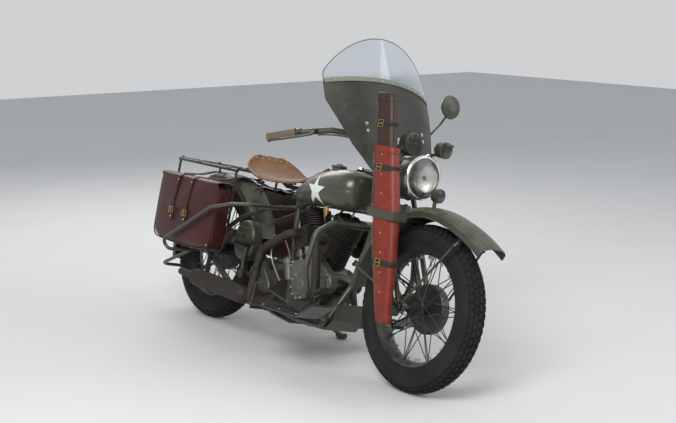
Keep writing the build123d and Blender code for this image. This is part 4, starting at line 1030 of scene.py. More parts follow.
def saddle_half_width(share):
    """Half width of the saddle from tail, 0, to nose, 1, rounded between the given widths."""
    for (low, first), (high, second) in zip(SADDLE_WIDTHS, SADDLE_WIDTHS[1:]):
        if share <= high:
            local = (share - low) / (high - low)
            local = local * local * (3 - 2 * local) * 0.35 + local * 0.65
            return first + (second - first) * local
    return SADDLE_WIDTHS[-1][1]


def saddle_point(share, across, lift=0.0):
    """Point on the saddle's top: share from tail to nose, across from -1 to 1."""
    x, z, radius = circle_through(SADDLE_TAIL, SADDLE_DIP, SADDLE_NOSE)
    at = SADDLE_TAIL[0] + 3 + share * (SADDLE_NOSE[0] - SADDLE_TAIL[0] - 6)
    height = z - math.sqrt((radius - SADDLE_CLEAR - lift) ** 2 - (at - x) ** 2)
    edge = abs(across) ** 2.4
    if share < 0.5:
        height -= 5.0 * math.sin(min(1.0, abs(across)) * math.pi) * (1 - share / 0.5)
    height -= edge * 15.0 * min(1.0, share / 0.12)
    height += 5.0 * (1 - edge) * math.exp(-((share - 0.72) / 0.2) ** 2)
    return mm(at, across * saddle_half_width(share), height)


class MOTORCYCLE_OT_saddle(PieceOperator, bpy.types.Operator):
    """Sprung leather saddle with its edge roll, stitches, rivets and coil springs"""

    bl_idname = "motorcycle.saddle"
    bl_label = "Saddle"

    def build(self):
        pan = grid_sheet("pan", [[saddle_point(i / 44, 1 - j / 14) for j in range(29)] for i in range(45)])
        round_edges(thicken(pan, 0.010, -1.0), 0.003, 3, 50)
        rim = [(0.0, across) for across in (-0.9, -0.5, 0, 0.5, 0.9)]
        rim += [(step / 20, 1.0) for step in range(1, 20)] + [(1.0, across) for across in (0.7, 0, -0.7)]
        rim += [(step / 20, -1.0) for step in range(19, 0, -1)]
        line = [saddle_point(*spot, -4.0) for spot in rim]
        roll = tube("roll", line, 5.2, cyclic=True, ring=4, resolution=4)
        settle([pan, roll], "saddle_top", "saddle", "machine", "tan_leather", ("saddle",), 60)
        self.stitches()
        self.rivets()
        self.springs()

    def stitches(self):
        """Two rows of stitches inside the edge roll."""
        parts = []
        for across in (0.9, -0.9):
            for index in range(52):
                share = 0.05 + index * 0.0175
                ends = (saddle_point(at, across, 1.2) for at in (share, share + 0.011))
                parts.append(rod("stitch", *ends, 0.9, 1))
        settle(parts, "saddle_stitches", "strap", "machine", "tan_leather")

    def rivets(self):
        """Brass rivets along the cantle and at the nose."""
        spots = [(0.035, across) for across in (-0.75, -0.45, -0.15, 0.15, 0.45, 0.75)]
        spots += [(0.95, -0.4), (0.95, 0.4)]
        dome = [(0, 6), (1.6, 5.2), (2.8, 3), (3.2, 0)]
        rivets = [lathe("rivet", dome, saddle_point(*spot), (0.1, 0, 1), 14) for spot in spots]
        settle(rivets, "saddle_rivets", "brass", "machine", "steel")

    def springs(self):
        """Pair of coil springs under the rear of the saddle, each on its foot."""
        parts = []
        for side in (1, -1):
            middle = mm(SEAT_X - 200, side * 88, 0)
            coil = []
            for step in range(52):
                turn = step / 10 * math.tau
                coil.append(middle + mm(17 * math.cos(turn), 17 * math.sin(turn), 643 + step * 1.45))
            parts.append(tube("coil", coil, 3.0, ring=2, resolution=2))
            parts.append(rod("foot", middle + mm(0, 0, 636), middle + mm(0, 0, 644), 20))
        settle(parts, "saddle_springs", "dull", "machine", "steel")


# saddlebags, the left one first

BAG_X = (-188.0, 316.0)
BAG_Y = (185.0, 305.0)
BAG_Z = (336.0, 652.0)
BAG_STRAPS = (0.36, 0.60)
FLAP_TOP = 0.32
YOKE_X = (-110.0, 110.0)
FENDER_CROWN = 363.0


def bag_skin(across, up, out=0.0):
    """Point on the outer face of the left bag. across and up run from 0 to 1."""
    x = BAG_X[0] + 4 + across * (BAG_X[1] - BAG_X[0] - 8)
    z = BAG_Z[0] + 6 + up * (BAG_Z[1] - BAG_Z[0] - 10)
    belly = math.sin(math.pi * min(1, max(0, across))) ** 0.45
    belly *= math.sin(math.pi * min(1, max(0, up * 0.86 + 0.10))) ** 0.5
    return mm(x, BAG_Y[1] - 30 + belly * 26 + out, z)


def bellied(u, v, w):
    """Place in the pouch of a point of a cube, each from -1 to 1: rounded, pinched above and sagging."""
    power = 6.0
    norm = (abs(u) ** power + abs(v) ** power + abs(w) ** power) ** (1 / power)
    u, v, w = u / norm, v / norm, w / norm
    pinch = 1 - 0.10 * max(0.0, w) ** 2
    sag = 0.03 * math.cos(u * math.pi / 2) if w < 0 else 0
    wave = 0.018 * math.sin(u * 7.0 + w * 3.0) * (1 - abs(w)) + 0.014 * math.sin(w * 9.0 + u * 2.0)
    v = v * pinch * (0.86 + 0.12 * math.cos(u * 1.45) * math.cos(w * 1.2)) + (wave if v > 0.4 else 0)
    return u, max(v, -0.97), (w * (1 - 0.012 * (1 - abs(u))) - sag) * 0.985


class MOTORCYCLE_OT_saddlebags(PieceOperator, bpy.types.Operator):
    """Leather saddlebags with flaps, straps, buckles and the yoke over the rear fender"""

    bl_idname = "motorcycle.saddlebags"
    bl_label = "Saddlebags"

    def build(self):
        left = join("bag", [self.pouch(), self.flap(), *self.welts()])
        right = copy_of(left)
        settle([left], "bag_left", "bag", "machine", "oxblood_leather", ("saddlebags",), 50)
        settle([right], "bag_right", "bag", "machine", "oxblood_leather", (), 50)
        straps = join("straps", self.straps())
        parts = [straps, copy_of(straps), *self.yoke()]
        settle(parts, "bag_straps", "bag_strap", "machine", "oxblood_leather")
        fittings = join("buckles", self.buckles())
        settle([fittings, copy_of(fittings)], "bag_buckles", "brass", "machine", "steel")

    def pouch(self):
        """Bellied pouch, subdivided from a block."""
        clear_selection()
        bpy.ops.mesh.primitive_cube_add(size=2)
        made = bpy.context.object
        edit_all(made)
        bpy.ops.mesh.subdivide(number_cuts=15)
        bpy.ops.object.mode_set(mode="OBJECT")
        for vertex in made.data.vertices:
            vertex.co = bellied(*vertex.co)
        middle = mm(*(sum(span) / 2 for span in (BAG_X, BAG_Y, BAG_Z)))
        half = mm(*((high - low) / 2 for low, high in (BAG_X, BAG_Y, BAG_Z)))
        made.data.transform(Matrix.Translation(middle) @ Matrix.Diagonal((*half, 1.0)))
        return tidy_normals(made)

    def flap(self):
        """Flap over the top and the upper half of the outer face."""
        rows = [[self.flap_point(i / 18, j / 26) for j in range(27)] for i in range(19)]
        made = thicken(grid_sheet("flap", rows), 0.0042)
        return apply_modifier(made, "SUBSURF", levels=1, render_levels=1)

    def flap_point(self, share, across):
        """Point of the flap: share from its hinge over the top to its lower edge, across from 0 to 1."""
        if share < FLAP_TOP:
            local = share / FLAP_TOP
            return mm(BAG_X[0] - 1 + across * (BAG_X[1] - BAG_X[0] + 2),
                      BAG_Y[0] + 8 + local * (BAG_Y[1] - BAG_Y[0] - 20),
                      BAG_Z[1] + 1.5 - 8 * (local - 0.5) ** 2 - 2 * math.sin(across * math.pi * 3) ** 2)
        local = (share - FLAP_TOP) / (1 - FLAP_TOP)
        low = 0.50 + 0.10 * (abs(across - 0.5) * 2) ** 4
        place = bag_skin(across, 1.0 - local * (1 - low), 6.5 + 2.0 * math.sin(across * 9 + local * 4))
        hang = min(1.0, local / 0.12)
        place.y = (BAG_Y[1] - 9) * 0.001 * (1 - hang) + place.y * hang
        return place

    def welts(self):
        """Sewn welt round the outer and inner edges of the pouch."""
        (left, right), (low, high) = BAG_X, BAG_Z
        loop = [(left + 6, high - 40), (left + 4, low + 60), (left + 14, low + 16), (left + 60, low + 3),
                (64, low - 1), (right - 60, low + 3), (right - 14, low + 16), (right - 4, low + 60),
                (right - 6, high - 40)]
        return [tube("welt", [mm(x, y, z) for x, z in loop], 3.6) for y in (BAG_Y[0] + 16, BAG_Y[1] - 22)]

    def straps(self):
        """Two closing straps over the top and down the outer face."""
        parts = []
        for across in BAG_STRAPS:
            x = bag_skin(across, 1).x * 1000
            spine = [mm(x, BAG_Y[0] + 40, BAG_Z[1] + 5), mm(x, BAG_Y[1] - 26, BAG_Z[1] + 5),
                     mm(x, BAG_Y[1] - 4, BAG_Z[1] - 8)]
            spine += [bag_skin(across, up, 12.5) for up in (0.85, 0.7, 0.55, 0.42, 0.3)]
            parts.append(round_edges(band(spine, 24, 3.4), 0.0009, 2, 30))
        return parts

    def yoke(self):
        """Two broad straps over the rear fender, from bag to bag."""
        parts = []
        for x in YOKE_X:
            top = AXLE_Z + math.sqrt(FENDER_CROWN ** 2 - (abs(x) - 17) ** 2) + 2.5
            side = [(40, top), (70, top - 9), (120, top - 24), (BAG_Y[0] + 20, BAG_Z[1] + 4)]
            line = [(-y, z) for y, z in reversed(side)] + [(0, top + 1)] + side
            parts.append(round_edges(band([mm(x, y, z) for y, z in line], 36, 5), 0.0009, 2, 30))
        return parts

    def buckles(self):
        """Buckle and studs of each strap, and a stud at each lower corner."""
        parts = []
        for across in BAG_STRAPS:
            parts += buckle(bag_skin(across, 0.46, 17), 17, 13, ((0, 1, -13), (0, 2, 14)))
            for up in (0.93, 0.36):
                dome = [(0, 5), (2, 4.4), (3.4, 2.4), (3.8, 0)]
                parts.append(lathe("stud", dome, bag_skin(across, up, 13.5), ACROSS, 12))
        for x in (BAG_X[0] + 22, BAG_X[1] - 22):
            dome = [(0, 6), (2, 5.4), (3.6, 3), (4, 0)]
            parts.append(lathe("stud", dome, mm(x, BAG_Y[1] - 21, BAG_Z[0] + 30), ACROSS, 12))
        return parts


# scabbard, as flat leather tubes through rows of (ahead of the front axle, height, width, thickness)

SCABBARD_Y = -172.0
SEAM_TOP = 905
SEAM_FOOT = 270
BOOT_ROWS = [(-176, 925, 124, 56), (-165, 880, 127, 57), (-142, 795, 133, 58), (-113, 690, 138, 58),
             (-93, 600, 131, 57), (-70, 500, 118, 52), (-46, 395, 97, 45), (-27, 310, 80, 40),
             (-17, 268, 74, 38)]
LIP_ROWS = [(-179, 934, 130, 60), (-177, 928, 131, 61), (-173, 912, 130, 61), (-172, 908, 127, 59)]
TOE_ROWS = [(-19, 300, 80, 41), (-18, 297, 81, 42), (-15, 262, 75, 40), (-15, 259, 70, 36)]
SLEEVE_ROWS = [(-231, 1138, 92, 44), (-222, 1105, 95, 46), (-206, 1040, 97, 47), (-190, 980, 98, 47),
               (-170, 905, 98, 46)]
CAP_ROWS = [(-234, 1146, 84, 40), (-233, 1142, 97, 49), (-226, 1112, 99, 50), (-225, 1108, 96, 48)]
STRAP_ROWS = [(-158, 850, 130, 58), (-66, 486, 117, 53), (-201, 1020, 97, 47)]
STRAP_SLOPE = -0.28
STRAP_SECTION = [
    # rise from the strap's middle, step back, growth over the leather
    (12, 1, 3), (11, 0, 6), (-11, 0, 6), (-12, -1, 3),
]
SQUARENESS = 2.9


def leather_tube(name, rows, puff=0.0):
    """Flat leather tube through its rows, with rounded corners and a slight uneven puff."""
    count, power = 36, 2 / SQUARENESS
    points, faces = [], []
    for order, (x, z, wide, thick) in enumerate(rows):
        for index in range(count):
            turn = index / count * math.tau
            cos, sin = math.cos(turn), math.sin(turn)
            out_x = math.copysign(abs(cos) ** power, cos) * wide / 2
            swell = 1 + puff * math.sin(order * 2.1 + turn * 2)
            out_y = math.copysign(abs(sin) ** power, sin) * thick / 2 * swell
            points.append(mm(WHEELBASE + x + out_x, SCABBARD_Y + out_y, z))
    for near in range(0, (len(rows) - 1) * count, count):
        far = near + count
        faces += [(near + i, near + (i + 1) % count, far + (i + 1) % count, far + i) for i in range(count)]
    faces += [tuple(range(count)), tuple(reversed(range(len(points) - count, len(points))))]
    made = round_edges(tidy_normals(mesh_from(name, points, faces)), 0.003, 2, 60)
    return apply_modifier(made, "SUBSURF", levels=1, render_levels=1)


def boot_row(z):
    """Ahead, width and thickness of the boot at a height."""
    for (x1, z1, *sizes1), (x2, z2, *sizes2) in zip(BOOT_ROWS, BOOT_ROWS[1:]):
        if z1 >= z >= z2:
            share = (z1 - z) / (z1 - z2)
            return [a + (b - a) * share for a, b in zip((x1, *sizes1), (x2, *sizes2))]
    raise RuntimeError("height outside the boot")


def boot_face(z, out=0.0):
    """Place in the middle of the boot's outer face at a height."""
    x, wide, thick = boot_row(z)
    return mm(WHEELBASE + x, SCABBARD_Y - thick / 2 - out, z)


def boot_rear(z, out=0.0):
    """Place on the boot's rear edge at a height."""
    x, wide, thick = boot_row(z)
    return mm(WHEELBASE + x - wide / 2 - out, SCABBARD_Y, z)


class MOTORCYCLE_OT_scabbard(PieceOperator, bpy.types.Operator):
    """Leather scabbard with its dark sleeve, sewn seam, straps and buckles"""

    bl_idname = "motorcycle.scabbard"
    bl_label = "Scabbard"

    def build(self):
        parts = [leather_tube("boot", BOOT_ROWS, 0.02), leather_tube("lip", LIP_ROWS),
                 leather_tube("toe", TOE_ROWS)]
        parts.append(tube("seam", [boot_rear(z, 1.0) for z in range(SEAM_TOP, SEAM_FOOT + 5, -40)], 4.2))
        settle(parts, "scabbard_boot", "boot", "fork", "scabbard_leather", ("scabbard",), 55)
        parts = [leather_tube("sleeve", SLEEVE_ROWS, 0.02), leather_tube("cap", CAP_ROWS)]
        settle(parts, "scabbard_sleeve", "sleeve", "fork", "scabbard_leather", (), 55)
        self.straps()
        self.stitches()

    def straps(self):
        """Dark straps round the scabbard with their buckles, and rivets down the boot."""
        bands, fittings = [], []
        for x, z, wide, thick in STRAP_ROWS:
            bands.append(leather_tube("band", [
                (x - STRAP_SLOPE * rise - back, z + rise, wide + growth, thick + growth)
                for rise, back, growth in STRAP_SECTION]))
            middle = mm(WHEELBASE + x - 8, SCABBARD_Y - thick / 2 - 5.2, z)
            fittings += buckle(middle, 14, 14, ((-14, 0, 0), (16, 0, 0)))
        settle(bands, "scabbard_straps", "black_strap", "fork", "scabbard_leather")
        dome = [(0, 4.4), (1.4, 3.8), (2.4, 0)]
        for z in range(900, 300, -75):
            fittings.append(lathe("rivet", dome, boot_face(z, -0.5), -ACROSS, 12))
        settle(fittings, "scabbard_fittings", "brass", "fork", "steel")

    def stitches(self):
        """Two rows of thread beside the rear seam."""
        parts = []
        for inset in (9.0, 14.0):
            for index in range(60):
                ends = []
                for z in (902 - index * 10.2, 896 - index * 10.2):
                    place = boot_rear(z, -inset)
                    place.y = boot_face(max(SEAM_FOOT, z)).y + 0.0027 + 0.0001 * (14 - inset)
                    ends.append(place)
                parts.append(rod("stitch", *ends, 0.8, 1))
        settle(parts, "scabbard_stitches", "trim", "fork", "scabbard_leather")


# windshield

SHEET_RADIUS = 456.0
SHEET_CENTRE = -336.0
SHEET_HALF = 285.0
SHEET_RISE = 160.0
SEAM = 1296.0


def sheet_point(y, along, out=0.0):
    """Point on the windshield's bent sheet."""
    ahead = SHEET_CENTRE + math.sqrt((SHEET_RADIUS + out) ** 2 - y ** 2)
    return fork_point(ahead, along, y)


def top_edge(y):
    """Height along the steering axis of the clear sheet's round top."""
    radius = (SHEET_RISE ** 2 + SHEET_HALF ** 2) / (2 * SHEET_RISE)
    return SEAM + 200 - radius + math.sqrt(radius ** 2 - y ** 2)


class MOTORCYCLE_OT_windshield(PieceOperator, bpy.types.Operator):
    """Edge trim, apron bead, seam strips and screws of the windshield"""

    bl_idname = "motorcycle.windshield"
    bl_label = "Windshield"

    def build(self):
        self.edge_trim()
        self.apron_bead()
        self.seam_strips()
        self.screws()

    def edge_trim(self):
        """Rolled edge round the clear sheet."""
        line = [(-SHEET_HALF, SEAM + 6), (-SHEET_HALF, SEAM + 26)]
        line += [(y, top_edge(y)) for y in range(-282, 283, 12)]
        line += [(SHEET_HALF, SEAM + 26), (SHEET_HALF, SEAM + 6)]
        edge = tube("edge", [sheet_point(*spot, 2.0) for spot in line], 2.6, ring=2, resolution=3)
        settle([edge], "windshield_edge", "trim", "fork", "clear_sheet")

    def apron_bead(self):
        """Bead round the apron's lower edge and its notch over the lamp."""
        line = [(SHEET_HALF, -4), (SHEET_HALF, -80), (250, -183), (215, -286), (182, -351), (150, -414),
                (100, -414), (100, -338), (90, -300), (62, -264), (32, -249), (0, -245)]
        left = [sheet_point(y, SEAM + drop, 1.5) for y, drop in line]
        right = [Vector((point.x, -point.y, point.z)) for point in left[-2::-1]]
        bead = tube("bead", left + right, 2.6, False, ring=2)
        settle([bead], "apron_bead", "apron", "fork", "apron_canvas")

    def seam_strips(self):
        """Metal strips over the joint of the clear sheet and the apron, one on each side."""
        half = SHEET_HALF - 2
        rows = [[sheet_point(-half + index * half / 20, along, 5.6) for index in range(41)]
                for along in (SEAM - 10, SEAM + 10)]
        outer = round_edges(thicken(grid_sheet("strip", rows), 0.0018), 0.0006, 2, 30)
        inner = copy_of(outer, Matrix.Translation(AXIS_AHEAD * -0.0095))
        settle([outer, inner], "seam_strips", "trim", "fork", "steel")

    def screws(self):
        """Screws along the seam strip, and the bolts of the apron's stays."""
        parts = []
        for y in range(-250, 251, 50):
            dome = [(0, 4.2), (1.4, 3.8), (2.2, 2.2), (2.4, 0)]
            out = sheet_point(y, SEAM, 10) - sheet_point(y, SEAM)
            parts.append(lathe("screw", dome, sheet_point(y, SEAM, 6.4), out, 12))
        for y in (-150, 150):
            for along in (1064, 1096):
                place = sheet_point(y, along, 3.2)
                parts.append(nut("bolt", place, sheet_point(y, along, 10) - place, 10, 4))
        settle(parts, "windshield_screws", "steel", "fork", "steel")


# lamps and horn

HEADLIGHT = Vector((WHEELBASE - 250.0, 0.0, 838.0))
HORN = (WHEELBASE - 282.0, 0.0, 958.0)
SMALL_LAMPS = [((WHEELBASE - 140, 104, 962), 32.0), ((WHEELBASE - 64, 46, 778), 27.0)]
TAIL_LAMP = (-396, 32, 520)
FLUTE_PITCH = 8.2


class MOTORCYCLE_OT_lamps(PieceOperator, bpy.types.Operator):
    """Headlight glass and rim, small lamps, tail lamps and horn grille"""

    bl_idname = "motorcycle.lamps"
    bl_label = "Lamps and horn"

    def build(self):
        self.headlight()
        self.headlight_glass()
        self.small_lamps()
        self.tail_lamps()
        self.horn()

    def headlight(self):
        """Plated rim with its screw, reflector and bulb."""
        base = mm(*HEADLIGHT)
        profile = [(112, 90.2), (119, 91.6), (124, 89), (127, 84), (125, 79.5), (121, 79), (119, 81.5),
                   (118.4, 86), (112, 90.2)]
        rim = [lathe("rim", profile, base, AHEAD, 64), block("tab", base + mm(119, 0, 92), (14, 16, 8), 1.5),
               nut("screw", base + mm(124, 0, 91), AHEAD, 8, 3)]
        settle(rim, "headlight_rim", "chrome", "fork", "chrome")
        profile = [(118.5, 0), (118.6, 20), (119.3, 45), (121, 66), (123.6, 79), (122.6, 79.6), (118.35, 79)]
        settle([lathe("bowl", profile, base, AHEAD)], "headlight_reflector", "chrome", "fork", "chrome")
        profile = [(118.6, 9), (122, 9), (125, 6.4), (126.4, 3), (126.8, 0)]
        settle([lathe("bulb", profile, base, AHEAD, 20)], "headlight_bulb", "dial", "fork", "lens")

    def headlight_glass(self):
        """Bulged glass with upright flutes."""
        profile = [(124, 79), (126.5, 76), (131, 60), (134, 35), (135, 0), (133.4, 0), (132.4, 34),
                   (129.4, 59), (125.2, 74.6), (123.8, 77.8)]
        parts = [lathe("glass", profile, mm(*HEADLIGHT), AHEAD, 64)]
        for index in range(-8, 9):
            y = index * FLUTE_PITCH
            tall = math.sqrt(71.0 ** 2 - y * y)
            line = []
            for z in (tall * step / 4 for step in range(-4, 5)):
                bulge = 134.6 - 9.5 * (math.hypot(y, z) / 78) ** 2.3
                line.append(mm(*HEADLIGHT + Vector((bulge, y, z))))
            parts.append(tube("flute", line, 0.7, ring=1, resolution=2))
        settle(parts, "headlight_glass", "glass", "fork", "lens", ("headlight_lens",))

    def small_lamps(self):
        """Glasses, rims and bulbs of the two small lamps."""
        rims, glasses = [], []
        for spot, radius in SMALL_LAMPS:
            place = mm(*spot)
            profile = [(-5, radius + 2.6), (1.5, radius + 2.2), (3.5, radius - 2), (1, radius - 4),
                       (-5, radius + 2.6)]
            rims.append(lathe("rim", profile, place, AHEAD, 36))
            profile = [(0.4, radius - 3), (3.4, radius * 0.7), (4.6, 0), (0.5, 0)]
            glasses.append(lathe("glass", profile, place, AHEAD, 36))
            rims.append(lathe("bulb", [(0.5, 7), (1.5, 5), (1.9, 0)], place, AHEAD, 16))
        settle(rims, "small_lamp_rims", "olive", "fork", "olive_paint")
        settle(glasses, "small_lamp_glasses", "glass", "fork", "lens")

    def tail_lamps(self):
        """Red and amber glasses of the two tail lamps, with their rims."""
        x, y, z = TAIL_LAMP
        for side, look, label in ((1, "red", "left"), (-1, "amber", "right")):
            place = mm(x, side * y, z)
            ring = lathe("ring", [(-4, 31.6), (1, 31.6), (2, 28), (-0.5, 26), (-4, 31.6)], place, -AHEAD, 32)
            settle([ring], "tail_lamp_rim_" + label, "olive", "machine", "olive_paint")
            glass = lathe("glass", [(0.2, 26), (2.6, 20), (3.6, 0), (0.3, 0)], place, -AHEAD, 32)
            settle([glass], "tail_lamp_glass_" + label, look, "machine", "lens")

    def horn(self):
        """Slotted grille and rim of the horn."""
        place, axis = mm(*HORN), Vector((1, 0, 0.1)).normalized()
        parts = [lathe("rim", [(54, 48.6), (60.5, 46), (61.5, 42), (59, 41), (54, 48.6)], place, axis, 48)]
        for radius in (10, 18, 26, 34):
            profile = [(59.8, radius - 1.8), (62.4, radius - 1.0), (62.4, radius + 1.0),
                       (59.8, radius + 1.8), (59.8, radius - 1.8)]
            parts.append(lathe("ring", profile, place, axis, 32))
        parts.append(lathe("boss", [(59.8, 6), (63.5, 5), (64.5, 0)], place, axis, 20))
        for index in range(8):
            turn = math.radians(45 * index)
            out = Vector((0, math.sin(turn), math.cos(turn)))
            ends = (place + axis * 0.0612 + out * reach for reach in (0.006, 0.042))
            parts.append(rod("bar", *ends, 1.5, 1))
        settle(parts, "horn_grille", "black", "fork", "black_paint")


# fork and handlebar

SPRING_AHEAD = 62.0
SPRING_Y = 38.0
SPRING_COIL = 18.5
SPRING_SPAN = (842.0, 960.0)
MIRROR_PLACE = (WHEELBASE - 429.2, 345, 1157.6)
FENDER_EYES = [(628, 67, 208), (604, 84, 195), (450, 67, -370), (440, 88, -355)]
GRIP_END = (WHEELBASE - 660, 402, 888)
GRIP_KNEE = (WHEELBASE - 555, 330, 930)
GRIP_RIBS = 17


class MOTORCYCLE_OT_fork_details(PieceOperator, bpy.types.Operator):
    """Fork and fender bolts, main springs, mirror glass and the front brake arm"""

    bl_idname = "motorcycle.fork_details"
    bl_label = "Fork details"

    def build(self):
        self.bolts()
        self.springs()
        self.mirror()
        self.brake_arm()

    def bolts(self):
        """Nuts of the axle, crown, top bracket and handlebar risers, and the fender's bolts."""
        parts = []
        for side in (1, -1):
            parts.append(nut("axle_nut", mm(WHEELBASE, side * 118, AXLE_Z), (0, side, 0), 26, 12))
            parts.append(nut("crown_nut", fork_point(8, 796, side * 82), AXIS_UP, 22, 9))
            parts.append(nut("riser_nut", fork_point(17, 1051, side * 30), AXIS_UP, 20, 8))
            spring_top = fork_point(SPRING_AHEAD, 984.5, side * SPRING_Y)
            parts.append(nut("bracket_nut", spring_top, AXIS_UP, 20, 9))
            for z, y, ahead in FENDER_EYES:
                parts.append(nut("fender_bolt", mm(WHEELBASE + ahead, side * y, z), (0, side, 0), 11, 4))
        parts.append(nut("stem_nut", fork_point(0, 984.5), AXIS_UP, 34, 12))
        settle(parts, "fork_bolts", "dull", "fork", "steel")

    def springs(self):
        """Round-wire turns over the main springs."""
        parts, steps, (low, high) = [], settings().spring_turns * 10, SPRING_SPAN
        for side in (1, -1):
            points = []
            for step in range(steps + 1):
                turn = step / 10 * math.tau
                ahead = SPRING_AHEAD + SPRING_COIL * math.cos(turn)
                y = side * SPRING_Y + SPRING_COIL * math.sin(turn)
                points.append(fork_point(ahead, low + (high - low) * step / steps, y))
            parts.append(tube("coil", points, 3.6, ring=2, resolution=2))
        settle(parts, "fork_springs", "olive", "fork", "olive_paint")

    def mirror(self):
        """Glass and rim of the mirror, on its rear face."""
        place, axis = mm(*MIRROR_PLACE), (-1, 0, -0.15)
        glass = lathe("glass", [(0.2, 46), (0.8, 44), (1.0, 0), (0.2, 0)], place, axis, 40)
        settle([glass], "mirror_glass", "mirror", "fork", "chrome")
        profile = [(-2, 52.4), (1, 51.6), (2.2, 48), (1.2, 46.4), (-1, 48), (-2, 52.4)]
        settle([lathe("rim", profile, place, axis, 40)], "mirror_rim", "chrome", "fork", "chrome")

    def brake_arm(self):
        """Brake arm and its pivot pin beside the front drum."""
        axle = mm(WHEELBASE, 0, AXLE_Z)
        arm = tube("arm", [axle + mm(6, 62, 56), axle + mm(-30, 64, 70), axle + mm(-58, 66, 66)], 5)
        pin = rod("pin", axle + mm(6, 56, 56), axle + mm(6, 70, 56), 8)
        settle([arm, pin], "front_brake_arm", "dull", "fork", "steel")


class MOTORCYCLE_OT_handlebar_details(PieceOperator, bpy.types.Operator):
    """Ribbed grips, clamps, light switch and cables"""

    bl_idname = "motorcycle.handlebar_details"
    bl_label = "Handlebar details"

    def build(self):
        end = mm(*GRIP_END)
        run = mm(*GRIP_KNEE) - end
        self.grips(end, run)
        clamp = lathe("clamp", [(124, 13), (124, 18), (144, 18), (144, 13)], end, run, 24)
        profile = [(0, 0), (0, 15), (16, 14), (20, 8), (20, 0)]
        switch = lathe("switch", profile, mm(WHEELBASE - 520, 283, 972), (0.1, 0, 1), 24)
        perch = block("perch", mm(WHEELBASE - 517, 280, 949), (26, 22, 16), 3)
        parts = [clamp, copy_of(clamp), switch, perch, copy_of(perch)]
        settle(parts, "bar_fittings", "black", "fork", "black_paint")
        spots = [(-512, 268, 933), (-485, 225, 945.6), (-431, 130, 947.6), (-410, 66, 920)]
        cables = [tube("cable", [mm(WHEELBASE + x, side * y, z) for x, y, z in spots], 2.6, ring=2)
                  for side in (1, -1)]
        settle(cables, "bar_cables", "black_rubber", "fork", "black_paint")

    def grips(self, end, run):
        """Rubber grips with a bulged end, ribs and a collar."""
        profile = [(-8, 0), (-8, 16), (-5, 20), (0, 20.4), (3, 18)]
        for along in range(6, 6 + 6 * GRIP_RIBS, 6):
            profile += [(along, 16.8), (along + 1.2, 18.2), (along + 3.6, 18.2), (along + 4.8, 16.8)]
        profile += [(112, 18), (116, 21), (119, 20), (119, 0)]
        left = lathe("grip", profile, end, run, 28)
        settle([left, copy_of(left)], "ribbed_grips", "grip", "fork", "grip_rubber", ("grips",))


# engine

V_HALF = math.radians(22.5)
CRANK = Vector((CRANK_X, 0.0, 300.0))
CYLINDERS = (1, -1)
HEAD_TOP = 327.5
PLUG_TOP = 350
COVER_FACE = -106
SCREW_RINGS = [
    # ahead of the crank, height, radius, first angle, end, step
    (-10, 288, 54, 150, 360, 35), (155, 335, 36, 20, 160, 45), (76, 392, 26, -30, 60, 45),
    (-65, 360, 24, -80, 0, 50),
]
COVER_BOSSES = [
    # ahead of the crank, height, steps, profile
    (-10, 292, 48, [(0, 46), (2.4, 44.6), (2.8, 43), (1.2, 40), (1.0, 30), (3.6, 27), (4.4, 22), (4.6, 0)]),
    (155, 335, 40, [(0, 30), (2.4, 28.6), (2.8, 27), (1.2, 25), (1.4, 0)]),
]
TIMER_FOOT = (CRANK_X - 118, -100, 366)
TIMER_TOP = (CRANK_X - 121, -101, 380)
PETCOCK = (881, -100)
PIPE_RUNS = [
    [(560, -112, 470), (556, -113, 440), (556, -112, 382), (600, -110, 330), (650, -108, 287)],
    [(871, -98, 618), (862, -92, 596), (846, -60, 568), (824, -34, 552), (806, -34, 540)],
    [(566, -60, 462), (640, -74, 420), (690, -92, 340), (700, -94, 300)],
]
COIL = (584, 0, 475)
LEAD_RUNS = [
    [(941, 0, 640), (938, 8, 656), (900, 13, 668), (800, 14, 684), (700, 15, 655), (640, 15, 634),
     (600, 22, 612), (588, 10, 588), (588, 5, 566)],
    [(659, 0, 640), (648, -8, 642), (625, -15, 634), (600, -14, 606), (580, -4, 588), (580, -4, 566)],
]


def barrel_axis(lean):
    """Unit vector up one cylinder. lean is 1 for the front one and -1 for the rear one."""
    return Vector((math.sin(V_HALF) * lean, 0.0, math.cos(V_HALF)))


def barrel_point(lean, along, ahead, y):
    """Point up one cylinder, ahead of its axis and across, in metres."""
    up = barrel_axis(lean)
    place = CRANK + up * along + Vector((up.z, 0.0, -up.x)) * ahead
    return mm(place.x, y, place.z)


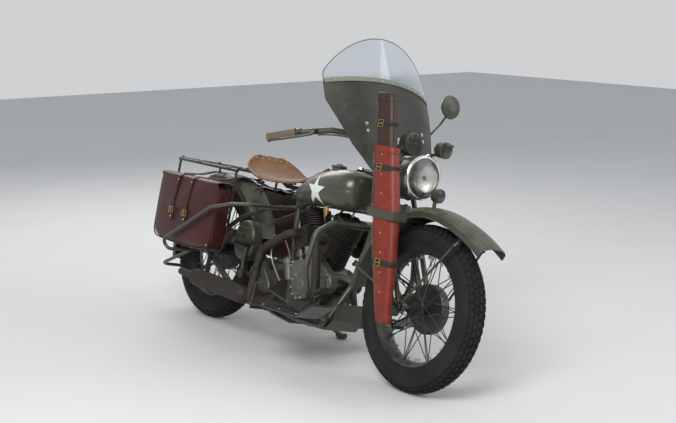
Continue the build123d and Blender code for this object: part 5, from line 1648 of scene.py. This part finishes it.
class MOTORCYCLE_OT_engine_details(PieceOperator, bpy.types.Operator):
    """Bolts, valve and timing covers, timer cap, pipes, fuel tap, spark plugs, coil and leads"""

    bl_idname = "motorcycle.engine_details"
    bl_label = "Engine details"

    def build(self):
        self.heads()
        self.valve_gear()
        self.timing_cover()
        self.timer()
        self.pipes()
        self.petcock()
        self.ignition()

    def heads(self):
        """Head bolts round each head, and the nuts at each barrel's foot."""
        parts = []
        for lean in CYLINDERS:
            up = barrel_axis(lean)
            for count, along, radius, across, high in ((8, HEAD_TOP, 55, 14, 8), (4, 119, 50, 15, 9)):
                for index in range(count):
                    turn = math.tau * (index + 0.5) / count
                    place = barrel_point(lean, along, radius * math.cos(turn), radius * math.sin(turn))
                    parts.append(nut("bolt", place, up, across, high))
        settle(parts, "cylinder_bolts", "dull", "machine", "steel")

    def valve_gear(self):
        """Spring covers of the four valves with their nuts, and the chest covers' screws."""
        covers, parts = [], []
        profile = [(0, 15.5), (3, 17), (7, 17), (8, 14.6), (24, 14.6), (25, 16.2), (32, 16.2), (33.4, 14),
                   (33.4, 11), (0, 11), (0, 15.5)]
        for lean in CYLINDERS:
            up = barrel_axis(lean)
            for ahead in (-24, 24):
                covers.append(lathe("cover", profile, barrel_point(lean, 126, ahead, -74), up, 32))
                parts.append(nut("tappet_nut", barrel_point(lean, 116, ahead, -74), up, 26, 9, False))
            for ahead in (-36, 36):
                for along in (172, 238):
                    parts.append(nut("chest_screw", barrel_point(lean, along, ahead, -91), -ACROSS, 10, 4))
        settle(covers, "valve_covers", "alloy", "machine", "case_alloy")
        settle(parts, "valve_nuts", "dull", "machine", "steel")

    def timing_cover(self):
        """Screws round the timing cover, and the cast rims on it."""
        screws = []
        dome = [(0, 6), (3.2, 5.6), (4.2, 4.2), (4.4, 0)]
        for ahead, z, radius, *turns in SCREW_RINGS:
            for turn in range(*turns):
                place = mm(CRANK_X + ahead, COVER_FACE, z) + round_wheel(turn) * (radius * 0.001)
                screws.append(lathe("screw", dome, place, -ACROSS, 16))
        settle(screws, "timing_screws", "steel", "machine", "steel")
        bosses = [lathe("boss", profile, mm(CRANK_X + ahead, COVER_FACE, z), -ACROSS, steps)
                  for ahead, z, steps, profile in COVER_BOSSES]
        settle(bosses, "timing_bosses", "alloy", "machine", "case_alloy")

    def timer(self):
        """Cap of the ignition timer and the two clips that hold it."""
        foot, top = mm(*TIMER_FOOT), mm(*TIMER_TOP)
        cap = lathe("cap", [(14.2, 25.6), (18, 25.6), (24, 22), (27, 14), (28, 0)], foot, top - foot, 32)
        settle([cap], "timer_cap", "alloy", "machine", "case_alloy")
        clips = []
        for side in (-1, 1):
            line = [top + mm(side * x, 0, z) for x, z in ((26, -6), (24, 10), (8, 15))]
            clips.append(tube("clip", line, 2, ring=2))
        settle(clips, "timer_clips", "steel", "machine", "steel")

    def pipes(self):
        """Thin oil and fuel pipes with their unions."""
        pipes, unions = [], []
        profile = [(-4, 0), (-4, 6), (6, 6), (8, 4.6), (12, 4.6), (12, 3)]
        for run in PIPE_RUNS:
            line = [mm(*spot) for spot in run]
            pipes.append(tube("pipe", line, 3.4))
            for start, after in (line[:2], line[:-3:-1]):
                unions.append(lathe("union", profile, start, after - start, 6))
        settle(pipes, "oil_and_fuel_pipes", "steel", "machine", "steel")
        settle(unions, "pipe_unions", "brass", "machine", "steel")

    def petcock(self):
        """Brass fuel tap under the right tank."""
        x, y = PETCOCK
        profile = [(652, 0), (652, 11), (644, 11), (642, 8), (628, 8), (626, 10), (618, 9), (616, 5),
                   (608, 5), (608, 0)]
        lever = tube("lever", [mm(x, y, 634), mm(x + 3, y - 22, 633), mm(x + 16, y - 28, 628)], 3.0)
        settle([lathe("tap", profile, mm(x, y, 0), UP, 20), lever], "fuel_tap", "brass", "machine", "steel")

    def ignition(self):
        """Plug insulators and terminals, the coil before the seat tube and its two leads."""
        white, ends = [], []
        for lean in CYLINDERS:
            up, top = barrel_axis(lean), barrel_point(lean, PLUG_TOP, 0, 0)
            white.append(lathe("insulator", [(-2, 6), (2, 6.4), (6, 5.6), (14, 4.2), (14, 0)], top, up, 20))
            ends.append(lathe("terminal", [(13, 4.4), (17, 4.4), (19, 2.6), (19, 0)], top, up, 12))
        settle(white, "plug_insulators", "dial", "machine", "steel")
        settle(ends, "plug_terminals", "brass", "machine", "steel")
        profile = [(0, 0), (0, 15), (3, 18), (80, 18), (83, 16), (83, 12), (91, 11), (92, 0)]
        coil = lathe("coil", profile, mm(*COIL), UP, 28)
        settle([coil], "ignition_coil", "black", "machine", "black_paint")
        leads = [tube("lead", [mm(*spot) for spot in run], 3.6) for run in LEAD_RUNS]
        settle(leads, "plug_leads", "black_rubber", "machine", "black_paint")


# drive line

SPROCKET_X = GEARBOX_X - 10.0
SPROCKET_RADIUS = 44.0
REAR_SPROCKET_RADIUS = 86.0
CHAIN_Y = 72.0
CHAIN_PITCH = 15.875
LINK_OUTLINE = [
    # share of the way to the next pin, height
    (-0.21, -3.2), (0.0, -4.2), (0.5, -3.0), (1.0, -4.2), (1.21, -3.2), (1.21, 3.2), (1.0, 4.2), (0.5, 3.0),
    (0.0, 4.2), (-0.21, 3.2),
]
FRAME_BOLTS = [
    # ahead of the rear axle, distance across, height, size across the flats, head's height
    (0, 112, AXLE_Z, 30, 14), (60, 100, 332, 14, 6), (-18, 100, 346, 12, 5), (CRANK_X - 110, 41, 215, 16, 7),
    (CRANK_X + 140, 27, 215, 16, 7),
]


def arc(middle, radius, start, end):
    """Points (x, z) of an arc in 24 steps."""
    turns = (start + (end - start) * index / 24 for index in range(25))
    return [middle + Vector((math.cos(turn), math.sin(turn))) * radius for turn in turns]


def chain_line():
    """Closed line of the chain: round the wheel's sprocket, forward, round the gearbox's and back."""
    small, large = Vector((SPROCKET_X, 290.0)), Vector((0.0, AXLE_Z))
    run = small - large
    tilt = math.atan2(run.y, run.x)
    spread = math.acos((REAR_SPROCKET_RADIUS - SPROCKET_RADIUS) / run.length)
    path = arc(large, REAR_SPROCKET_RADIUS, tilt + spread, tilt + math.tau - spread)
    path += arc(small, SPROCKET_RADIUS, tilt - spread, tilt + spread)
    return path + path[:1]


def even_spots(path, pitch):
    """Places an even number of pins, about a pitch apart, round a closed line."""
    lengths = [0.0]
    for start, end in zip(path, path[1:]):
        lengths.append(lengths[-1] + (end - start).length)
    count = 2 * round(lengths[-1] / pitch / 2)
    spots, part = [], 0
    for index in range(count):
        distance = lengths[-1] * index / count
        while distance > lengths[part + 1]:
            part += 1
        share = (distance - lengths[part]) / (lengths[part + 1] - lengths[part])
        spots.append(path[part].lerp(path[part + 1], share))
    return spots


def prism(near, far):
    """Corners and faces of a prism between two outlines with as many points."""
    count = len(near)
    faces = [tuple(range(count)), tuple(reversed(range(count, 2 * count)))]
    faces += [(i, count + i, count + (i + 1) % count, (i + 1) % count) for i in range(count)]
    return near + far, faces


def link_plate(start, end, low, high):
    """Waisted plate from one pin to the next, between two distances across from the chain's middle."""
    side = Vector((start.y - end.y, end.x - start.x)).normalized()
    spots = [start.lerp(end, share) + side * rise for share, rise in LINK_OUTLINE]
    return prism(*([mm(spot.x, CHAIN_Y + across, spot.y) for spot in spots] for across in (low, high)))


def roller(middle):
    """Eight-sided roller round a pin."""
    spots = [middle + Vector((math.cos(turn), math.sin(turn))) * 3.6
             for turn in (corner / 8 * math.tau for corner in range(8))]
    return prism(*([mm(spot.x, CHAIN_Y + across, spot.y) for spot in spots] for across in (-5.6, 5.6)))


class MOTORCYCLE_OT_drive_details(PieceOperator, bpy.types.Operator):
    """Roller chain, primary cover bosses, muffler bands, frame bolts and gearbox bolts"""

    bl_idname = "motorcycle.drive_details"
    bl_label = "Drive details"

    def build(self):
        self.chain()
        self.primary_cover()
        self.muffler_bands()
        self.frame_bolts()
        self.gearbox()

    def chain(self):
        """Roller chain round the gearbox and wheel sprockets, with wide and narrow links by turns."""
        pins = even_spots(chain_line(), CHAIN_PITCH)
        points, faces = [], []
        for index, (start, end) in enumerate(zip(pins, pins[1:] + pins[:1])):
            wide = 5.0 if index % 2 else 3.6
            solids = [link_plate(start, end, side * (wide - 1.2), side * wide) for side in (1, -1)]
            for corners, sides in (*solids, roller(start)):
                faces += [tuple(len(points) + corner for corner in side) for side in sides]
                points += corners
        made = tidy_normals(mesh_from("chain", points, faces), 0.000001)
        settle([made], "roller_chain", "dull", "machine", "steel", ("drive_chain",), 30)

    def primary_cover(self):
        """Turned bosses on the primary cover, over both shafts and between them."""
        profile = [(0, 26), (2.4, 24), (3.6, 20), (3.8, 10), (6, 9), (7, 0)]
        clutch_x = GEARBOX_X + 10
        bosses = [lathe("boss", profile, mm(x, 148, 296), ACROSS, 36)
                  for x in (CRANK_X, clutch_x, (CRANK_X + clutch_x) / 2)]
        settle(bosses, "primary_cover_bosses", "steel", "machine", "steel")

    def muffler_bands(self):
        """Clamps round the muffler."""
        profile = [(-8, 37), (-8, 39), (8, 39), (8, 37), (-8, 37)]
        bands = [lathe("band", profile, mm(GEARBOX_X + ahead, -160, 182), AHEAD, 28)
                 for ahead in (-42, -262)]
        settle(bands, "muffler_bands", "pipe", "machine", "black_paint")

    def frame_bolts(self):
        """Rear axle nuts, axle plate bolts and engine mount bolts."""
        parts = [nut("bolt", mm(x, side * y, z), (0, side, 0), across, high)
                 for side in (1, -1) for x, y, z, across, high in FRAME_BOLTS]
        settle(parts, "frame_bolts", "dull", "machine", "steel")

    def gearbox(self):
        """Lid bolts and filler plug."""
        parts = [nut("lid_bolt", mm(GEARBOX_X + ahead, y, 356), UP, 12, 5)
                 for ahead in (-40, 0, 45) for y in (-50, 50)]
        parts.append(nut("filler", mm(GEARBOX_X + 30, -58, 330), -ACROSS, 24, 9))
        settle(parts, "gearbox_bolts", "dull", "machine", "steel")


# body fittings

CAP = (CRANK_X + 80, 75, 820)
KNURLS = 24
DIAL = (CRANK_X + 140, 0, 812)
DIAL_MARKS = 13
RIB_SHARES = (-0.62, -0.31, 0.0, 0.31, 0.62)
BOARD_SLOPE = 5.8 / 245
PADS = [
    # middle, width across, tilt of the pad
    ((CRANK_X + 319, 246, 340), 92, 0.5), ((CRANK_X + 316, -225, 322), 62, 0.5),
    ((CRANK_X + 103, 256, 259), 60, -0.4),
]
FENDERS = [
    # name, axle, edge radius, first and last angle from the top, body
    ("rear", 0.0, 318.0, -106, 72, "machine"), ("front", WHEELBASE, 355.0, -86, 9, "fork"),
]
RACK_LINE = [(-126, 712), (-126, 722), (-118, 727), (0, 727.5), (118, 727), (126, 722), (126, 712)]


def span_middle(points, axis):
    """Middle of the points' range along one axis."""
    values = [point[axis] for point in points]
    return (min(values) + max(values)) / 2


class MOTORCYCLE_OT_tank_details(PieceOperator, bpy.types.Operator):
    """Filler caps, tank bolts, dash switch and speedometer"""

    bl_idname = "motorcycle.tank_details"
    bl_label = "Tank details"

    def build(self):
        self.caps()
        self.speedometer()
        self.switch()
        self.bolts()

    def caps(self):
        """Knurled cap with a grip bar on each tank half."""
        place = mm(*CAP)
        profile = [(-6, 31), (-3, 32.4), (3, 32.4), (5, 30), (7, 24), (8, 8), (8, 0)]
        parts = [lathe("cap", profile, place, UP)]
        for index in range(KNURLS):
            turn = index / KNURLS * math.tau
            base = place + Vector((math.cos(turn), math.sin(turn), 0)) * 0.0322
            parts.append(rod("knurl", base + mm(0, 0, -3), base + mm(0, 0, 3), 1.3, 1))
        parts.append(block("grip", place + mm(0, 0, 9), (34, 7, 5), 1.5))
        left = join("cap", parts)
        settle([left, copy_of(left)], "filler_caps", "olive", "machine", "olive_paint")

    def speedometer(self):
        """Bezel, face, marks and needle of the round speedometer."""
        axis = Vector((-0.3, 0, 1)).normalized()
        side = axis.cross(ACROSS).normalized()
        place = mm(*DIAL) + axis * 0.015
        profile = [(-6, 17.2), (2, 17.6), (3.6, 16), (2.2, 14.2), (0.4, 14), (-6, 17.2)]
        bezel = lathe("bezel", profile, place, axis, 40)
        settle([bezel], "speedometer_bezel", "chrome", "machine", "chrome")
        face = lathe("face", [(0.3, 14), (0.8, 13.6), (0.9, 0)], place, axis, 32)
        settle([face], "speedometer_face", "dial", "machine", "lens")
        marks, level = [], place + axis * 0.0011
        for index in range(DIAL_MARKS):
            turn = math.radians(-140 + index * 23.3)
            out = side * math.cos(turn) + ACROSS * math.sin(turn)
            marks.append(rod("mark", level + out * 0.010, level + out * 0.0128, 0.4, 1))
        level = place + axis * 0.0014
        marks.append(rod("needle", level, level + side * 0.009, 0.5, 1))
        settle(marks, "speedometer_marks", "black", "machine", "black_paint")

    def switch(self):
        """Key switch with its key, and two small lamps beside it."""
        axis = (-0.3, 0, 1)
        profile = [(-10, 10), (2, 10), (3, 7), (8, 6), (9, 0)]
        parts = [lathe("switch", profile, mm(CRANK_X + 60, 0, 800), axis, 24),
                 block("key", mm(CRANK_X + 57, 0, 811), (14, 3, 5), 1)]
        profile = [(-8, 3.6), (1.5, 3.6), (3.4, 0)]
        parts += [lathe("lamp", profile, mm(CRANK_X + 95, y, 811), axis, 14) for y in (-10, 10)]
        settle(parts, "dash_switch", "steel", "machine", "steel")

    def bolts(self):
        """Tank bolts before and behind the dash."""
        parts = []
        for side in (1, -1):
            parts.append(nut("tank_bolt", mm(CRANK_X + 188, side * 24, 812), (0.2, 0, 1), 12, 5))
            parts.append(nut("tank_bolt", mm(SEAT_X + 60, side * 24, 700), UP, 12, 5))
        settle(parts, "tank_bolts", "dull", "machine", "steel")


class MOTORCYCLE_OT_body_details(PieceOperator, bpy.types.Operator):
    """Fittings of the tool box, footboards, pedals, fenders, rack, air cleaner and rear stand"""

    bl_idname = "motorcycle.body_details"
    bl_label = "Body details"

    def build(self):
        self.tool_box()
        self.footboards()
        self.pedals()
        self.fender_beads()
        self.fender_rivets()
        self.rack()
        self.air_cleaner()
        self.rear_stand_nuts()
        self.kick_pedal()

    def tool_box(self):
        """Pressed ribs across the tool box lid, and its latch."""
        corners = upright_points("tool_box")
        outer = min(point.y for point in corners)
        face = [point for point in corners if point.y < outer + 0.004]
        middle = sum(face, Vector()) / len(face)
        middle.y = outer
        wide, tall = (max(abs(point[axis] - middle[axis]) for point in face) for axis in (0, 2))
        parts = []
        for share in RIB_SHARES:
            reach = wide * (0.86 if abs(share) < 0.5 else 0.62)
            start, end = (middle + Vector((side * reach, -0.0004, tall * share)) for side in (-1, 1))
            parts.append(tube("rib", [start, start, end, end], 3.4, resolution=3))
        settle(parts, "tool_box_ribs", "olive", "machine", "olive_paint")
        place = middle + Vector((0, -0.002, tall * 0.16))
        latch = [block("plate", place + mm(0, 1, 0), (24, 3, 14), 1), nut("knob", place, -ACROSS, 12, 6)]
        settle(latch, "tool_box_latch", "dull", "machine", "steel")

    def footboards(self):
        """Ribbed rubber mats and their rivets."""
        mats, rivets = [], []
        rear, front = CRANK_X + 32, CRANK_X + 277
        outline = [(rear, 199.4), (front, 205.2), (front, 208.8), (rear, 203)]
        for side in (1, -1):
            low, high = sorted((side * 210, side * 310))
            mats.append(slab("mat", outline, low, high, 1.2))
            for ahead in range(44, 265, 22):
                z = 203.6 + (ahead - 32) * BOARD_SLOPE
                mats.append(block("rib", mm(CRANK_X + ahead, side * 260, z), (8, 92, 5), 1.4))
            for ahead in (40, 150, 268):
                for y in (216, 304):
                    place = mm(CRANK_X + ahead, side * y, 203.2 + (ahead - 32) * BOARD_SLOPE)
                    rivets.append(lathe("rivet", [(0, 6), (2, 5), (3, 0)], place, UP, 12))
        settle(mats, "footboard_mats", "black_rubber", "machine", "grip_rubber")
        settle(rivets, "footboard_rivets", "steel", "machine", "steel")

    def pedals(self):
        """Rubber bars across the three foot pedals."""
        bars = []
        for middle, width, tilt in PADS:
            along, axis = Vector((1, 0, tilt)).normalized(), Vector((-tilt, 0, 1)).normalized()
            turned = Matrix((along, ACROSS, axis)).transposed()
            for index in range(-2, 3):
                place = mm(*middle) + along * (index * 0.0095)
                bars.append(block("bar", place, (5, width, 5), 1.2, turned))
        settle(bars, "pedal_rubbers", "black_rubber", "machine", "grip_rubber")

    def fender_beads(self):
        """Rolled edges along both sides of both fenders."""
        for label, x, radius, start, end, body in FENDERS:
            rows = []
            for side in (1, -1):
                axle = mm(x, side * 65.4, AXLE_Z)
                line = [axle + round_wheel(start + (end - start) * index / 24) * (radius * 0.001)
                        for index in range(25)]
                rows.append(tube("bead", line, 2.8, ring=2, resolution=3))
            settle(rows, label + "_fender_bead", "olive", body, "olive_paint")

    def fender_rivets(self):
        """Rivets on both shoulders of the rear fender."""
        rivets, dome = [], [(0, 4.6), (1.4, 3.8), (2.2, 0)]
        for side in (1, -1):
            for turn in range(-60, 41, 20):
                out = round_wheel(turn)
                place = mm(0, side * 57, AXLE_Z) + out * 0.353
                rivets.append(lathe("rivet", dome, place, out + ACROSS * side, 10))
        settle(rivets, "rear_fender_rivets", "olive", "machine", "olive_paint")

    def rack(self):
        """Leather straps and bolts of the luggage rack."""
        straps = [band([mm(x, y, z) for y, z in RACK_LINE], 26, 2.2) for x in (-140, 120)]
        settle(straps, "rack_straps", "black_strap", "machine", "oxblood_leather")
        bolts = [nut("bolt", mm(x, side * 108, 726), UP, 12, 4)
                 for x in (-322, -70, 182) for side in (1, -1)]
        settle(bolts, "rack_bolts", "dull", "machine", "steel")

    def air_cleaner(self):
        """Rim, boss and wing nut on the air cleaner's outer end."""
        corners = upright_points("air_cleaner")
        outer = max(point.y for point in corners)
        place = Vector((span_middle(corners, 0), outer, span_middle(corners, 2)))
        parts = [lathe("ring", [(-0.4, 60), (3, 57), (3.4, 53), (1, 50), (0, 50)], place, ACROSS),
                 lathe("boss", [(0, 24), (3, 22), (4, 16), (5, 0)], place, ACROSS, 32),
                 block("wing", place + mm(0, 9, 0), (34, 5, 9), 2),
                 nut("nut", place + mm(0, 4, 0), ACROSS, 14, 6)]
        settle(parts, "air_cleaner_fittings", "dull", "machine", "steel")

    def rear_stand_nuts(self):
        """Pivot nuts of the rear stand."""
        parts = [nut("pivot", mm(0, side * 128.5, AXLE_Z), (0, side, 0), 20, 7, False) for side in (1, -1)]
        settle(parts, "rear_stand_nuts", "dull", "rear_stand_bail", "steel")

    def kick_pedal(self):
        """Ribbed rubber on the kick pedal."""
        corners = upright_points("kick_starter")
        top = max(point.z for point in corners)
        peak = [point for point in corners if point.z > top - 0.02]
        x = sum(point.x for point in peak) / len(peak)
        low, high = min(point.y for point in peak), max(point.y for point in peak)
        length = (high - low) * 1000
        profile = [(0, 0), (0, 11.4)]
        for along in range(0, math.ceil(length - 6), 6):
            profile += [(along + 1, 12.6), (along + 4, 12.6), (along + 5, 11.2)]
        profile += [(length, 11.2), (length, 0)]
        rubber = lathe("rubber", profile, Vector((x, low, span_middle(peak, 2))), ACROSS, 24)
        settle([rubber], "kick_pedal_rubber", "black_rubber", "machine", "grip_rubber")


# stage

CAMERA_PLACE = Vector((5.205232, -3.178001, 1.604648)) + PARKED
CAMERA_TURN = math.radians(52.799)
CAMERA_PITCH = math.radians(10.227)
CAMERA_LENS = 69.231
LAMPS = [
    # name, place, size, share of the lamp power
    ("main_lamp", (2.6, -3.4, 3.6), 2.2, 1.5), ("fill_lamp", (3.4, 2.6, 2.6), 3.0, 0.45),
    ("back_lamp", (-3.4, 1.0, 3.4), 2.6, 0.6),
]


class MOTORCYCLE_OT_stage(PieceOperator, bpy.types.Operator):
    """Pale floor, soft lamps and the camera at the photograph's angle"""

    bl_idname = "motorcycle.stage"
    bl_label = "Stage"

    def build(self):
        self.add_floor()
        self.light_world()
        for lamp in LAMPS:
            self.add_lamp(*lamp)
        self.add_camera()

    def add_floor(self):
        """Pale floor, a little grainy."""
        bpy.ops.mesh.primitive_plane_add(size=24, location=(0, 0, -0.0005))
        floor = bpy.context.object
        floor.name = "pale_floor"
        made, tree, shader = new_finish("pale_floor")
        grain = group(tree, "Surface Grain", Fine=40.0, Broad=1.5)
        tint = blend_colour(tree, grain["Patch"], (0.66, 0.65, 0.63), (0.72, 0.71, 0.69))
        tune(tree, shader, Base_Color=tint, Roughness=0.9)
        floor.data.materials.append(made)
        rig.stage(floor)

    def light_world(self):
        """Even pale surroundings."""
        world = bpy.data.worlds.new("studio")
        bpy.context.scene.world = world
        world.use_nodes = True
        tree = world.node_tree
        path = node(tree, "ShaderNodeLightPath").outputs
        seen = maths(tree, "MAXIMUM", path["Is Camera Ray"], path["Is Transmission Ray"])
        seen = maths(tree, "MAXIMUM", seen, path["Is Glossy Ray"])
        colour = blend_colour(tree, seen, (0.62, 0.66, 0.72), (0.84, 0.85, 0.86))
        tune(tree, tree.nodes["Background"], Color=colour, Strength=0.75)

    def add_lamp(self, name, place, size, share):
        """Square soft lamp that looks at the machine."""
        clear_selection()
        bpy.ops.object.light_add(type="AREA", location=place)
        lamp = bpy.context.object
        lamp.name = name
        lamp.data.size = size
        lamp.data.energy = settings().lamp_power * share
        lamp.rotation_euler = (Vector((0, 0, 0.5)) - Vector(place)).to_track_quat("-Z", "Y").to_euler()

    def add_camera(self):
        """Camera at the photograph's place."""
        flat = Vector((-math.sin(CAMERA_TURN), math.cos(CAMERA_TURN), 0))
        ahead = flat * math.cos(CAMERA_PITCH) - UP * math.sin(CAMERA_PITCH)
        clear_selection()
        bpy.ops.object.camera_add(location=CAMERA_PLACE)
        camera = bpy.context.object
        camera.name = "camera"
        camera.rotation_euler = ahead.to_track_quat("-Z", "Y").to_euler()
        camera.data.lens = CAMERA_LENS
        camera.data.sensor_width = 36.0
        camera.data.dof.use_dof = False
        bpy.context.scene.camera = camera
        bpy.context.scene.view_settings.view_transform = "Standard"


OPERATORS = (
    MOTORCYCLE_OT_finishes,
    MOTORCYCLE_OT_tyres,
    MOTORCYCLE_OT_wheel_details,
    MOTORCYCLE_OT_saddle,
    MOTORCYCLE_OT_saddlebags,
    MOTORCYCLE_OT_scabbard,
    MOTORCYCLE_OT_windshield,
    MOTORCYCLE_OT_lamps,
    MOTORCYCLE_OT_fork_details,
    MOTORCYCLE_OT_handlebar_details,
    MOTORCYCLE_OT_engine_details,
    MOTORCYCLE_OT_drive_details,
    MOTORCYCLE_OT_tank_details,
    MOTORCYCLE_OT_body_details,
    MOTORCYCLE_OT_stage,
)


class MOTORCYCLE_PT_panel(bpy.types.Panel):
    """Sizes, colours and pieces of the motorcycle"""

    bl_label = "Motorcycle"
    bl_space_type = "VIEW_3D"
    bl_region_type = "UI"
    bl_category = "Motorcycle"

    def draw(self, context):
        """Draw the settings and a button for each piece."""
        values = context.scene.motorcycle
        sizes = self.layout.box()
        for label in MotorcycleSettings.__annotations__:
            sizes.prop(values, label)
        pieces = self.layout.column(align=True)
        for operator in OPERATORS:
            pieces.operator(operator.bl_idname)


CLASSES = (MotorcycleSettings, *OPERATORS, MOTORCYCLE_PT_panel)


def register():
    """Register the classes and the scene's settings."""
    for made in CLASSES:
        bpy.utils.register_class(made)
    bpy.types.Scene.motorcycle = bpy.props.PointerProperty(type=MotorcycleSettings)


def unregister():
    """Take the classes and the settings out again."""
    del bpy.types.Scene.motorcycle
    for made in reversed(CLASSES):
        bpy.utils.unregister_class(made)


def main():
    """Build every piece and write the boxes of the solids and of the dressed machine."""
    register()
    for operator in OPERATORS:
        family, label = operator.bl_idname.split(".")
        getattr(getattr(bpy.ops, family), label)()
    bpy.context.view_layer.update()
    low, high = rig.bounds()
    with open("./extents.json", "w") as out:
        json.dump({"cad": [list(CAD_LOW), list(CAD_HIGH)], "visual": [list(low), list(high)]}, out)


if __name__ == "__main__":
    main()
